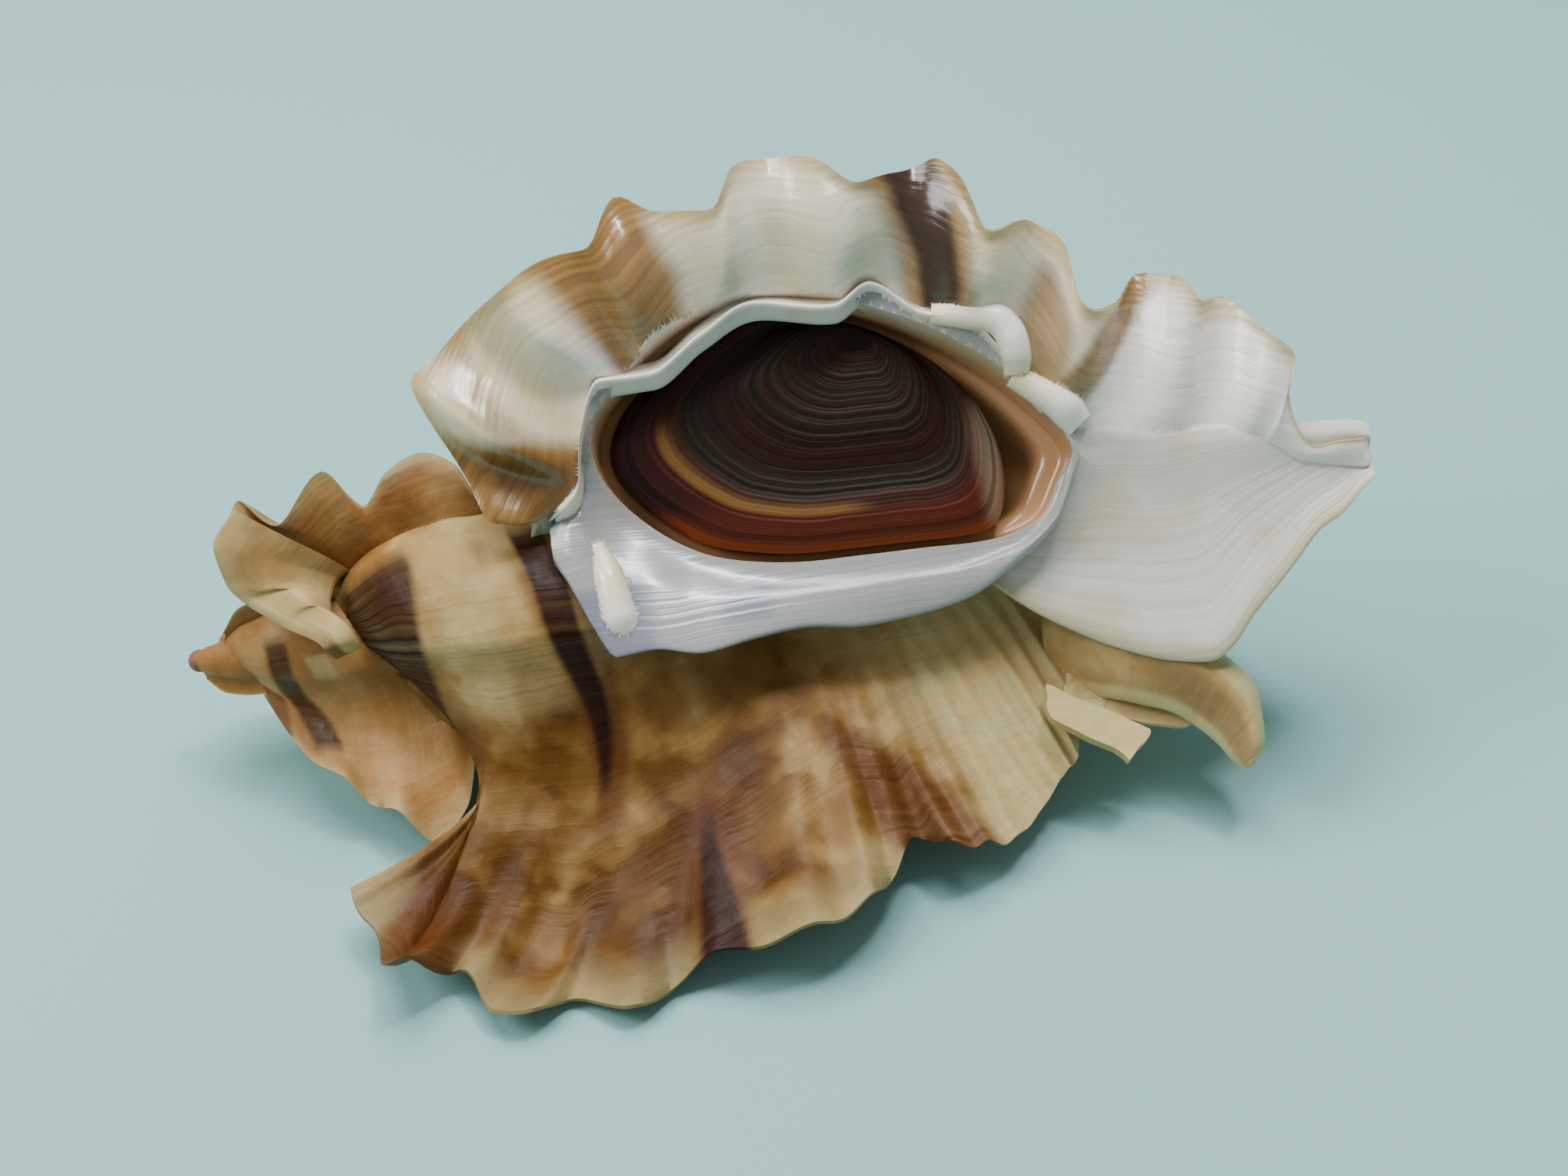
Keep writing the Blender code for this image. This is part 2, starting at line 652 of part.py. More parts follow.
def canal_plate():
    """The broad plate beside the canal's seam, with the closed canal under it."""
    rings = []
    for height, free_q, free_d, seam_q, seam_d in CANAL_PLATE:
        taper = 1 - 0.72 * (height - CANAL_PLATE[0][0]) / (CANAL_PLATE[-1][0] - CANAL_PLATE[0][0])
        width = seam_q - free_q
        rings.append(
            closed_ring(
                height,
                (
                    (free_q, free_d),
                    (free_q + 0.35 * width, 0.65 * free_d + 0.35 * seam_d - 0.5),
                    (free_q + 0.70 * width, 0.30 * free_d + 0.70 * seam_d - 0.4),
                    (seam_q, seam_d + 0.4),
                    (seam_q + 1.2, seam_d - 1.5 * taper),
                    (seam_q, seam_d - 7.0 * taper),
                    (seam_q - 3.5 * taper, seam_d - 8.0 * taper),
                    (free_q + 0.45 * width, 0.5 * (free_d + seam_d) - 3.2 * taper - 0.6),
                    (free_q + 0.6, free_d - 1.1),
                ),
            )
        )
    return loft_rings("canal_plate", rings)


def canal_horn():
    """The curved end of the second varix's canal, a blade with a rounded upper face."""
    rings = []
    for up_a, up_r, low_a, low_r, azimuth, thick in HORN:
        ring = []
        for share, lift in ((0, 0), (0.2, 0.75), (0.5, 1.0), (0.8, 0.6), (1, 0), (0.75, -0.2), (0.25, -0.2)):
            height = up_a * (1 - share) + low_a * share
            radius = up_r * (1 - share) + low_r * share
            ring.append(point(height, radius, azimuth) + backward(azimuth) * thick * lift)
        rings.append(ring)
    return loft_rings("canal_horn", rings)


def thin_plate(name, outline, azimuth, thickness):
    heights, radii = np.array(outline, float).T
    middle = point(heights, radii, azimuth)
    half = backward(azimuth) * thickness / 2
    return loft_rings(name, [middle + half, middle - half])


def bead(name, nodes, sides=6):
    """A rounded fold along a path on the aperture's face."""
    path = np.array(nodes, float)
    centres = facing_point(path[:, 0], path[:, 1], path[:, 2])
    across = facing_point(0.0, 0.0, 1.0)
    rings = []
    for i, centre in enumerate(centres):
        run = centres[min(i + 1, len(path) - 1)] - centres[max(i - 1, 0)]
        side = np.cross(run, across)
        side = side / np.linalg.norm(side)
        turn = np.arange(sides) * 2 * math.pi / sides
        ring = centre + path[i, 3] * (np.outer(np.cos(turn), side) + np.outer(np.sin(turn), across))
        rings.append(ring)
    return loft_rings(name, rings)


def aperture_hollow():
    """What is hollowed out of the aperture: a bowl shaped like the hole the operculum closes."""
    heights, offsets = np.array(APERTURE).T
    mid_a, mid_q = APERTURE_MIDDLE
    rings = []
    for depth, share in HOLLOW_LEVELS:
        rings.append(
            facing_point(mid_a + (heights - mid_a) * share, mid_q + (offsets - mid_q) * share, depth)
        )
    return loft_rings("aperture_hollow", rings)


def operculum_plate():
    """The horny plate, a little hollow outside, with a rounded margin."""
    heights, offsets = np.array(OPERCULUM).T
    near_a, near_q = OPERCULUM_NUCLEUS
    rings = []
    profile = (
        (0.97, -OPERCULUM_THICKNESS),
        (1.00, -0.5 * OPERCULUM_THICKNESS),
        (0.98, 0.0),
        (0.86, 0.5),
        (0.66, 0.2),
        (0.40, 0.6),
        (0.15, 0.4),
    )
    for share, rise in profile:
        rings.append(
            facing_point(
                near_a + (heights - near_a) * share,
                near_q + (offsets - near_q) * share,
                OPERCULUM_DEPTH + rise,
            )
        )
    return loft_rings("operculum", rings)


def joined(name, pieces):
    """One solid from pieces that overlap."""
    kept = pieces[0]
    kept.name = name
    for piece in pieces[1:]:
        combine(kept, piece, "UNION")
    return kept


def combine(kept, other, operation):
    boolean = kept.modifiers.new(other.name, "BOOLEAN")
    boolean.operation = operation
    boolean.object = other
    boolean.solver = BOOLEAN_SOLVER
    depsgraph = bpy.context.evaluated_depsgraph_get()
    data = bpy.data.meshes.new_from_object(kept.evaluated_get(depsgraph))
    kept.modifiers.clear()
    kept.data = data
    bpy.data.objects.remove(other, do_unlink=True)


def nucleus():
    """The smooth first whorl at the tip of the spire."""
    mesh = bmesh.new()
    bmesh.ops.create_uvsphere(mesh, u_segments=12, v_segments=8, radius=NUCLEUS_RADIUS)
    mesh.transform(Matrix.Translation(NUCLEUS_PLACE))
    return finish_mesh("nucleus", mesh)


def ground_slab():
    """What is worn off the lowest points, so that the shell stands on small flat spots."""
    mesh = bmesh.new()
    bmesh.ops.create_cube(mesh, size=1.0)
    mesh.transform(Matrix.Translation((0, 0, -GROUND_DEPTH / 2)) @ Matrix.Diagonal((200, 200, GROUND_DEPTH, 1)))
    return finish_mesh("ground", mesh)


def lay(made):
    """Turn an object from the shell's frame to how it lies."""
    turn = Matrix.Rotation(math.radians(AXIS_TURN), 4, "Z")
    rise = Matrix.Rotation(math.radians(-AXIS_RISE), 4, "Y")
    made.data.transform(Matrix.Translation(APEX_PLACE) @ turn @ rise)


def shell_material():
    material = bpy.data.materials.new("shell")
    material.use_nodes = True
    surface = material.node_tree.nodes["Principled BSDF"]
    surface.inputs["Base Color"].default_value = (0.56, 0.41, 0.25, 1.0)
    surface.inputs["Roughness"].default_value = 0.38
    surface.inputs["Metallic"].default_value = 0.0
    return material


def operculum_material():
    material = bpy.data.materials.new("operculum")
    material.use_nodes = True
    surface = material.node_tree.nodes["Principled BSDF"]
    surface.inputs["Base Color"].default_value = (0.045, 0.018, 0.011, 1.0)
    surface.inputs["Roughness"].default_value = 0.42
    surface.inputs["Metallic"].default_value = 0.0
    return material


def make_shell():
    pieces = [
        varix_segment(0, LIP_WING, 27.0, 34, 1, (5, 3, 3)),
        varix_segment(1, BACK_WING, 24.0, 40, 2, (5, 3, 3)),
        varix_segment(2, LOWER_WING, 22.0, 52, 2, (5, 4, 4), LOWER_WING_BOW),
        varix_segment(3, SPIRE_WING, 8.0, 26, 2, (4, 2, 2)),
        varix_segment(4, spire_edge(4, 5, HIDDEN_WING), 3.0, 26, 1, (4, 2, 2)),
        varix_segment(5, HIDDEN_WING, 3.0, 40, 1, (4, 2, 2)),
        varix_segment(6, spire_edge(6, 5, SPIRE_RIB), 1.5, 26, 1, (4, 2, 2)),
        varix_segment(7, spire_edge(7, 5, SPIRE_RIB), 1.0, 26, 1, (4, 2, 2)),
        varix_segment(8, spire_edge(8, 5, SPIRE_RIB), 1.0, 26, 1, (4, 2, 2)),
        spire_frill(),
        nucleus(),
        callus_block(),
        canal_plate(),
        canal_horn(),
        thin_plate("canal_flap", CANAL_FLAP, -31, 1.0),
        thin_plate("canal_stub", CANAL_STUB, -28, 1.6),
    ]
    shell = joined("shell", pieces)
    combine(shell, aperture_hollow(), "DIFFERENCE")
    for detail in (bead("tooth", TOOTH), bead("last_lobe", LAST_LOBE), bead("anal_fold", ANAL_FOLD)):
        combine(shell, detail, "UNION")
    lay(shell)
    combine(shell, ground_slab(), "DIFFERENCE")
    return shell


def finish(made, material, collection):
    """Bring an object to metres, shade it smooth and file it in the shell's collection."""
    made.data.transform(Matrix.Scale(MM, 4))
    made.data.materials.clear()
    made.data.materials.append(material)
    made.data.shade_smooth()
    made.data.set_sharp_from_angle(angle=math.radians(SHARP_ANGLE))
    bpy.context.scene.collection.objects.unlink(made)
    collection.objects.link(made)


def main():
    for old in list(bpy.data.objects):
        bpy.data.objects.remove(old, do_unlink=True)
    collection = bpy.data.collections.new("Ceratostoma burnettii")
    bpy.context.scene.collection.children.link(collection)
    shell = make_shell()
    operculum = operculum_plate()
    lay(operculum)
    finish(shell, shell_material(), collection)
    finish(operculum, operculum_material(), collection)


if __name__ == "__main__":
    main()
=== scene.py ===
"""Looks for a Burnett's murex shell with its operculum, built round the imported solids.

The shell is made in its own frame: height along the axis from the apex toward the canal, radius
from the axis, and azimuth about it, 0 toward the viewer and 90 up. It grew with falling azimuth.
"""
import math

import bmesh
import bpy
import numpy as np
from bpy.props import FloatProperty, FloatVectorProperty, PointerProperty
from mathutils import Matrix, Vector


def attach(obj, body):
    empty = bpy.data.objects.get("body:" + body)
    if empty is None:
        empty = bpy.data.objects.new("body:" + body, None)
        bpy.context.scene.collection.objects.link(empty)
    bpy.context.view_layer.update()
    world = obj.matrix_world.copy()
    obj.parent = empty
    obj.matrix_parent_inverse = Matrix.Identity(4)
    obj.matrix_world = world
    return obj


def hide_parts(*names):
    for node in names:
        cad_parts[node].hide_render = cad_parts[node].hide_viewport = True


bl_info = {
    "name": "Burnett's murex",
    "version": (1, 0, 0),
    "blender": (4, 5, 0),
    "location": "View3D > Sidebar > Murex",
    "description": "Makes a winged murex shell with its operculum",
    "category": "Add Mesh",
}

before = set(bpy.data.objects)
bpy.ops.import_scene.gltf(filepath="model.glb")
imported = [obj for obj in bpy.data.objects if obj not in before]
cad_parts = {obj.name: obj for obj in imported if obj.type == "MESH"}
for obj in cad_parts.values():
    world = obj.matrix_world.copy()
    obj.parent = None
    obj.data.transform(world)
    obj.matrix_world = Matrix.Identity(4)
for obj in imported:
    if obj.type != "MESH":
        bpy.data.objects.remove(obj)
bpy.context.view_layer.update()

BODY = "root"

# Lengths below are millimetres and angles are degrees; the model is in metres.
MM = 0.001

# How the shell lies: the axis rises toward the canal and turns away from the viewer.
AXIS_RISE = 5.6
AXIS_TURN = 6.4
APEX_PLACE = (-48.84, -0.15, 10.2)

# Growth of the whorls.
LIP_AZIMUTH = 100.0
LIP_SUTURE = 31.0
WHORL_LENGTH = 40.0
WHORL_RADIUS = 22.5

# Where an older whorl or a wing's foot lies under the newer growth, as a share of its radius.
BURIED = 0.88
# How thick a wing is at its foot, at its shoulder, past it and at its edge.
FOOT_THICKNESS = 2.4
SHOULDER_THICKNESS = 1.7
WING_THICKNESS = 2.2
EDGE_THICKNESS = 0.5
# How far up a wing its shoulder is, and how strongly an edge hooks back.
SHOULDER_SHARE = 0.35
HOOK_STRENGTH = 1.6
# Shares over which a wing's first border bows and its last one thins.
BOW_REACH = 0.15
END_TAPER = 0.06
LOWER_WING_BOW = 9.0
NUCLEUS_PLACE = (1.0, 0.0, 0.0)
NUCLEUS_RADIUS = 0.95
BEAD_SIDES = 16
GROUND_DEPTH = 10.0
GROUND_WIDTH = 200.0
# Corners sharper than this stay sharp.
SHARP_ANGLE = 62.0

# The lip's face carries growth counted back from here, so that the two faces of a wing differ.
FACE_GROWTH = 40.0

# Sizes of the finishes' patterns, in millimetres. The blotches of the outer shell are 3 to 15 mm
# across. Its growth lines are about 0.3 mm apart, too fine to show, so they are drawn coarser.
MOTTLE_SIZE = 4.76
BLOTCH_SIZE = 14.3
FLECK_SIZE = 1.43
CLOUD_SIZE = 10.5
HORN_CLOUD_SIZE = 5.26
RELIEF_CLOUD_SIZE = 9.1
SHELL_LINES_PER_MM = 1.3
LIP_LINES_PER_MM = 1.2
BROAD_LINES_PER_MM = 0.22
HORN_LINES_PER_MM = 2.2
HORN_BANDS_PER_MM = 0.45
# The spiral cords are counted over the whole section, about 63 mm long, so 1.4 mm apart.
CORDS = 45.0
# The camera's place in metres and its turn in degrees.
EYE_PLACE = (0.001116, -0.119489, 0.1211)
EYE_TURN = (49.089, 0.51, -0.442)
# Each lamp's name, its place and size in metres, and its power in watts.
LAMPS = (
    ("key", (-0.05, 0.13, 0.52), 0.35, 3.7),
    ("fill", (-0.35, -0.05, 0.35), 0.20, 1.6),
    ("spark", (0.10, 0.05, 0.50), 0.07, 0.9),
)
SKY_STRENGTH = 0.48
# How far the floor lies under the shell.
FLOOR_GAP = 0.02
# Depths of the finest relief, which the finishes draw.
SHELL_GRAIN = 0.5
LIP_GRAIN = 0.4
HORN_GRAIN = 0.2

# Azimuth of each varix, newest first: the lip, two wings, and the ribs of the spire.
VARIX_AZIMUTHS = (100, 205, 338, 455, 572, 689, 806, 923, 1040, 1157)
SEGMENT_OVERLAP = 16.0
SIDE_FLATNESS = (0.02, 0.105, 0.0, 0.0, 0.0, 0.0, 0.0, 0.0, 0.0)

# Outline of a whorl between varices: share of its length, and share of its radius.
SECTION = (
    (0.00, 0.40),
    (0.03, 0.58),
    (0.08, 0.78),
    (0.15, 0.93),
    (0.24, 1.00),
    (0.33, 0.98),
    (0.41, 0.87),
    (0.50, 0.64),
    (0.60, 0.42),
    (0.72, 0.31),
    (0.86, 0.25),
    (1.00, 0.14),
)

# Edge of each wing: share of the section, height from the apex, radius, azimuth past the varix,
# and how far the edge hooks back.
LOWER_WING = (
    (0.00, 12.9, 22.6, 0, 10),
    (0.04, 13.4, 24.2, 0, 20),
    (0.09, 14.9, 27.0, 0, 20),
    (0.15, 17.0, 31.0, 0, 60),
    (0.21, 20.6, 30.6, -2, 20),
    (0.27, 23.4, 34.0, -5, 40),
    (0.30, 25.8, 35.4, -7, 50),
    (0.335, 29.3, 33.8, -4, 20),
    (0.37, 33.4, 36.0, -5, 30),
    (0.42, 37.5, 33.8, -2, 10),
    (0.455, 40.6, 32.6, 0, 10),
    (0.50, 44.0, 32.9, 0, 20),
    (0.55, 48.8, 32.3, 0, 20),
    (0.60, 53.0, 30.2, 0, 10),
    (0.63, 55.1, 28.0, 0, 0),
    (0.66, 57.3, 24.9, -4, 0),
    (0.70, 60.8, 26.6, -8, 20),
    (0.75, 64.4, 26.3, -10, 10),
    (0.80, 68.0, 23.6, -12, 0),
    (0.86, 70.4, 21.0, -13, 0),
    (0.92, 71.8, 19.8, -14, 0),
    (0.96, 72.4, 16.0, -12, 0),
    (0.98, 72.2, 10.8, -10, 0),
    (1.00, 70.4, 3.6, 0, 0),
)
BACK_WING = (
    (0.00, 24.6, 7.5, 10, 0),
    (0.03, 24.0, 15.0, 5, 0),
    (0.07, 20.5, 19.0, 0, 20),
    (0.11, 21.0, 22.5, 0, 30),
    (0.16, 26.0, 23.4, 0, 10),
    (0.21, 31.0, 26.4, 0, 25),
    (0.27, 36.5, 24.8, 0, 10),
    (0.33, 42.0, 28.2, 0, 25),
    (0.39, 47.5, 26.6, 0, 10),
    (0.45, 53.5, 31.0, 2, 25),
    (0.51, 58.0, 28.2, 4, 10),
    (0.58, 64.5, 31.0, 8, 20),
    (0.64, 67.0, 21.0, 0, 0),
    (0.72, 73.0, 20.0, 0, 15),
    (0.82, 80.0, 15.0, 0, 0),
    (0.92, 83.6, 9.0, 0, 0),
    (1.00, 84.8, 3.8, 0, 0),
)
SPIRE_WING = (
    (0.000, 7.4, 13.6, 0, 0),
    (0.020, 8.0, 14.2, 0, 10),
    (0.060, 10.8, 12.2, 0, 0),
    (0.105, 15.0, 15.6, 0, 20),
    (0.140, 17.6, 11.8, 6, 0),
    (0.170, 19.6, 13.6, 14, 0),
    (0.200, 22.3, 14.4, 18, 0),
    (0.250, 25.2, 13.6, 14, 0),
    (0.300, 27.2, 11.2, 0, 0),
    (0.400, 32.0, 10.2, 0, 0),
    (0.500, 37.0, 7.6, 0, 0),
)
HIDDEN_WING = (
    (0.00, 5.9, 3.5, 0, 0),
    (0.05, 8.0, 7.6, 0, 0),
    (0.10, 9.6, 10.0, 0, 20),
    (0.16, 12.6, 12.6, 0, 20),
    (0.23, 14.0, 14.4, 0, 0),
    (0.30, 16.6, 16.0, 0, 20),
    (0.37, 19.0, 18.4, 0, 0),
    (0.44, 22.0, 16.0, 0, 0),
    (0.50, 24.0, 5.5, 0, 0),
)
SPIRE_RIB = (
    (0.00, 5.9, 3.5, 0, 0),
    (0.10, 8.6, 7.0, 0, 0),
    (0.22, 12.8, 8.2, 0, 0),
    (0.36, 18.0, 7.6, 0, 0),
    (0.50, 23.2, 4.8, 0, 0),
)

# Edge of the lip's wing: share, height, then offset and depth in the aperture's plane, and hook.
APERTURE_FACING = 45.0
LIP_WING = (
    (0.00, 31.0, 6.3, 10.0, 0),
    (0.02, 28.6, 6.4, 12.5, 0),
    (0.05, 26.9, 9.3, 14.0, 0),
    (0.08, 25.2, 13.0, 15.0, 10),
    (0.11, 24.8, 16.6, 15.5, 20),
    (0.15, 27.0, 19.3, 16.0, 10),
    (0.19, 31.3, 22.4, 16.5, 10),
    (0.23, 35.4, 24.4, 17.0, 10),
    (0.255, 38.8, 24.8, 17.0, 10),
    (0.285, 42.4, 27.5, 17.0, 30),
    (0.31, 45.6, 26.7, 17.0, 10),
    (0.335, 48.8, 26.5, 17.0, 10),
    (0.36, 51.3, 29.2, 17.0, 20),
    (0.385, 54.3, 29.9, 17.0, 30),
    (0.42, 57.5, 28.7, 17.0, 20),
    (0.45, 60.5, 26.9, 17.0, 10),
    (0.48, 64.0, 27.1, 17.0, 20),
    (0.505, 66.8, 27.6, 17.0, 30),
    (0.52, 68.2, 26.0, 17.0, 20),
    (0.54, 69.5, 22.4, 16.5, 0),
    (0.58, 73.6, 21.8, 16.0, 20),
    (0.61, 75.9, 19.6, 15.0, 0),
    (0.64, 76.3, 16.4, 13.5, 0),
    (0.66, 77.6, 15.7, 12.5, 0),
    (0.68, 79.5, 15.6, 12.0, 0),
    (0.72, 82.6, 17.2, 11.5, 10),
    (0.75, 85.0, 17.0, 11.0, 10),
    (0.77, 86.6, 14.8, 11.0, 0),
    (0.79, 88.7, 14.1, 11.0, 0),
    (0.82, 91.0, 12.0, 11.0, 0),
    (0.85, 92.8, 10.0, 10.5, 0),
    (0.87, 92.0, 7.0, 10.0, 0),
    (0.89, 92.6, 4.0, 9.5, 0),
    (0.91, 94.0, 2.4, 9.0, 0),
    (0.94, 95.8, 2.6, 9.0, 0),
    (0.97, 98.0, 2.6, 8.5, 0),
    (1.00, 98.4, 0.6, 8.4, 0),
)

# The lip's inner rim: share, height, offset and depth in the aperture's plane.
LIP_RIM = (
    (0.00, 31.5, 5.5, 10.5),
    (0.08, 35.4, 8.0, 12.0),
    (0.14, 36.2, 12.0, 12.0),
    (0.20, 38.4, 15.9, 12.0),
    (0.255, 42.4, 15.9, 12.0),
    (0.31, 46.8, 18.4, 12.0),
    (0.36, 51.1, 20.1, 12.0),
    (0.42, 57.4, 18.9, 12.0),
    (0.45, 60.2, 20.2, 12.0),
    (0.50, 64.0, 17.4, 12.0),
    (0.55, 67.7, 15.9, 12.5),
    (0.60, 70.5, 12.0, 12.5),
    (0.64, 73.0, 8.5, 11.5),
    (0.68, 75.5, 6.5, 10.5),
    (0.75, 82.0, 4.6, 9.5),
    (0.82, 88.0, 3.6, 9.0),
    (0.88, 90.6, 2.4, 8.7),
    (0.92, 92.8, 1.2, 8.5),
    (1.00, 98.0, 0.0, 8.2),
)

# The callus: height, and offset and depth of its free edge and of its inner edge.
CALLUS = (
    (32.6, 2.2, 11.3, 5.0, 11.0),
    (33.4, 0.6, 11.6, 5.6, 11.0),
    (35.0, -3.4, 11.8, 7.0, 10.4),
    (36.3, -5.7, 11.8, 6.2, 9.8),
    (39.1, -5.6, 11.8, 4.8, 9.2),
    (43.2, -6.5, 11.3, 2.2, 9.0),
    (47.0, -6.0, 10.4, 0.6, 8.9),
    (51.0, -5.7, 9.6, -0.3, 8.8),
    (56.0, -6.3, 8.8, -0.6, 8.8),
    (60.0, -6.1, 8.4, -0.8, 8.8),
    (64.4, -5.4, 8.6, -1.2, 8.8),
    (69.0, -3.1, 9.4, -1.0, 8.8),
    (72.2, -0.7, 10.2, 1.0, 9.0),
    (74.2, 3.0, 10.6, 4.0, 9.4),
    (74.8, 4.0, 10.5, 4.8, 9.6),
)

# The spire's frill wraps round the suture: azimuth, height and radius of its edge and its foot.
FRILL = (
    (28.0, 14.0, 7.0, 14.0, 6.2),
    (38.0, 13.6, 9.4, 13.8, 7.0),
    (53.0, 10.4, 8.6, 13.6, 6.4),
    (67.0, 7.8, 8.6, 13.6, 6.2),
    (77.0, 6.2, 9.6, 13.8, 6.2),
    (87.0, 5.8, 12.0, 14.2, 6.4),
    (95.0, 7.9, 14.1, 15.0, 6.6),
)
FRILL_THICKNESS = 1.0

# The hole that the operculum closes, at its level: height and offset.
APERTURE = (
    (37.0, 10.3),
    (37.8, 13.0),
    (39.6, 14.9),
    (43.0, 17.6),
    (46.6, 19.4),
    (51.0, 20.2),
    (55.6, 19.7),
    (60.0, 18.1),
    (64.4, 15.6),
    (68.4, 12.5),
    (71.2, 9.6),
    (73.4, 6.8),
    (74.2, 4.8),
    (73.2, 2.8),
    (71.5, 0.3),
    (69.0, -0.8),
    (66.0, -1.1),
    (62.0, -0.9),
    (57.0, -0.7),
    (51.3, -0.4),
    (46.0, 0.7),
    (42.6, 2.4),
    (39.6, 5.0),
    (37.6, 7.8),
)
APERTURE_MIDDLE = (53.0, 9.0)
# Levels of the hollow: depth in the aperture's plane, and share of the hole's size.
HOLLOW_LEVELS = (
    (20.0, 1.10),
    (12.6, 1.04),
    (9.0, 1.00),
    (7.3, 0.99),
    (6.9, 0.92),
    (4.0, 0.85),
    (-3.0, 0.55),
    (-7.0, 0.2),
)

# The canal's plate: height, offset and depth of its free edge, and of its closed seam.
CANAL_PLATE = (
    (64.0, -1.0, 4.0, 3.5, 6.0),
    (68.0, -5.5, 7.0, 5.0, 8.4),
    (72.0, -8.5, 7.5, 6.2, 9.4),
    (76.0, -10.8, 8.0, 6.2, 10.0),
    (80.0, -12.4, 8.4, 5.1, 9.6),
    (83.0, -12.9, 8.6, 4.6, 9.4),
    (84.8, -12.0, 8.8, 4.4, 9.3),
    (87.0, -9.8, 8.8, 4.1, 9.2),
    (88.8, -8.3, 8.8, 3.9, 9.1),
    (91.0, -6.4, 8.8, 3.6, 9.0),
    (93.2, -4.4, 8.8, 3.2, 8.9),
    (95.5, -3.2, 8.7, 3.0, 8.8),
    (97.2, -1.8, 8.5, 2.8, 8.6),
    (98.5, -0.8, 8.4, 2.4, 8.5),
)

# The older canal's horn: height and radius of its upper and its lower edge, azimuth, thickness.
HORN = (
    (71.0, 5.0, 70.5, 12.0, -40, 3.0),
    (74.0, 6.6, 73.6, 15.0, -32, 3.8),
    (77.4, 7.6, 76.4, 16.6, -26, 4.0),
    (81.3, 10.4, 79.2, 17.8, -26, 3.6),
    (84.6, 13.3, 81.2, 19.2, -28, 3.2),
    (87.0, 17.3, 82.8, 21.0, -29, 2.6),
    (86.8, 20.8, 83.7, 22.4, -30, 2.0),
    (85.6, 22.9, 84.4, 23.3, -30, 1.0),
)
# Broken ends of the older canals below the horn: height and radius of their outlines.
CANAL_STUB = ((70.0, 14.0), (73.5, 16.4), (77.5, 19.1), (75.4, 21.3), (74.4, 20.2), (70.0, 17.0))
CANAL_FLAP = ((72.0, 13.0), (79.0, 16.0), (81.6, 18.4), (80.8, 19.0), (77.5, 18.2), (72.0, 15.4))

# The labral tooth's fold and the last lobe of the lip: height, offset, depth and thickness.
TOOTH = (
    (64.8, 17.0, 12.3, 0.7),
    (67.8, 16.2, 13.2, 1.0),
    (69.7, 15.5, 13.6, 1.1),
    (70.6, 14.0, 13.6, 1.1),
    (70.8, 12.2, 13.2, 1.0),
    (70.6, 11.0, 12.2, 0.8),
)
LAST_LOBE = (
    (70.4, 11.2, 12.0, 0.8),
    (72.6, 9.4, 12.0, 1.0),
    (74.2, 8.0, 11.6, 1.2),
    (75.2, 6.6, 10.8, 1.0),
)
ANAL_FOLD = (
    (36.0, 3.4, 10.2, 0.4),
    (36.6, 0.4, 11.2, 0.9),
    (37.0, -2.6, 11.5, 1.0),
    (37.8, -4.8, 10.9, 0.5),
)

# The operculum's outline: height and offset.
OPERCULUM = (
    (38.0, 10.4),
    (38.9, 12.6),
    (40.2, 14.2),
    (43.3, 16.7),
    (46.8, 18.6),
    (51.0, 19.4),
    (55.5, 18.9),
    (59.6, 17.4),
    (63.7, 14.7),
    (66.3, 12.0),
    (67.9, 9.5),
    (68.9, 6.2),
    (68.8, 2.9),
    (68.0, 0.6),
    (66.6, -0.3),
    (64.0, -0.4),
    (60.0, -0.2),
    (55.7, 0.0),
    (51.3, 0.3),
    (47.1, 1.2),
    (44.4, 2.2),
    (41.9, 4.0),
    (39.9, 6.0),
    (38.4, 8.1),
)
OPERCULUM_NUCLEUS = (59.5, 17.0)
OPERCULUM_DEPTH = 8.8
OPERCULUM_THICKNESS = 1.5
OPERCULUM_POINTS = 160
# How the plate rises and falls from its nucleus, at share 0, to its margin.
OPERCULUM_RISE = ((0.0, 0.3), (0.2, 0.5), (0.4, 0.6), (0.66, 0.2), (0.86, 0.5), (0.96, 0.35), (1.0, 0.0))
# Growth of the plate from its nucleus to its margin, and how many points its corners are rounded
# over in the older rings.
OPERCULUM_GROWTH = 16.0
OPERCULUM_ROUNDING = 14.0


def smooth_curve(nodes, x):
    """Cubic curve through nodes (x, y, ...), with no overshoot past a node that is a peak."""
    table = np.asarray(nodes, float)
    knots, values = table[:, 0], table[:, 1:]
    steps = np.diff(values, axis=0) / np.diff(knots)[:, None]
    slopes = np.zeros_like(values)
    slopes[0], slopes[-1] = steps[0], steps[-1]
    same_way = steps[:-1] * steps[1:] > 0
    mean = 2 * steps[:-1] * steps[1:] / np.where(same_way, steps[:-1] + steps[1:], 1)
    slopes[1:-1] = np.where(same_way, mean, 0)
    x = np.clip(np.asarray(x, float), knots[0], knots[-1])
    i = np.clip(np.searchsorted(knots, x, side="right") - 1, 0, len(knots) - 2)
    width = knots[i + 1] - knots[i]
    s = ((x - knots[i]) / width)[:, None]
    width = width[:, None]
    rise = 3 * s**2 - 2 * s**3
    return (
        values[i] * (1 - rise)
        + values[i + 1] * rise
        + slopes[i] * width * s * (1 - s) ** 2
        - slopes[i + 1] * width * s**2 * (1 - s)
    )


def point(height, radius, azimuth):
    """A place in the shell's frame: x along the axis, y away from the viewer, z up."""
    angle = np.radians(azimuth)
    return np.stack(np.broadcast_arrays(height, -radius * np.cos(angle), radius * np.sin(angle)), -1)


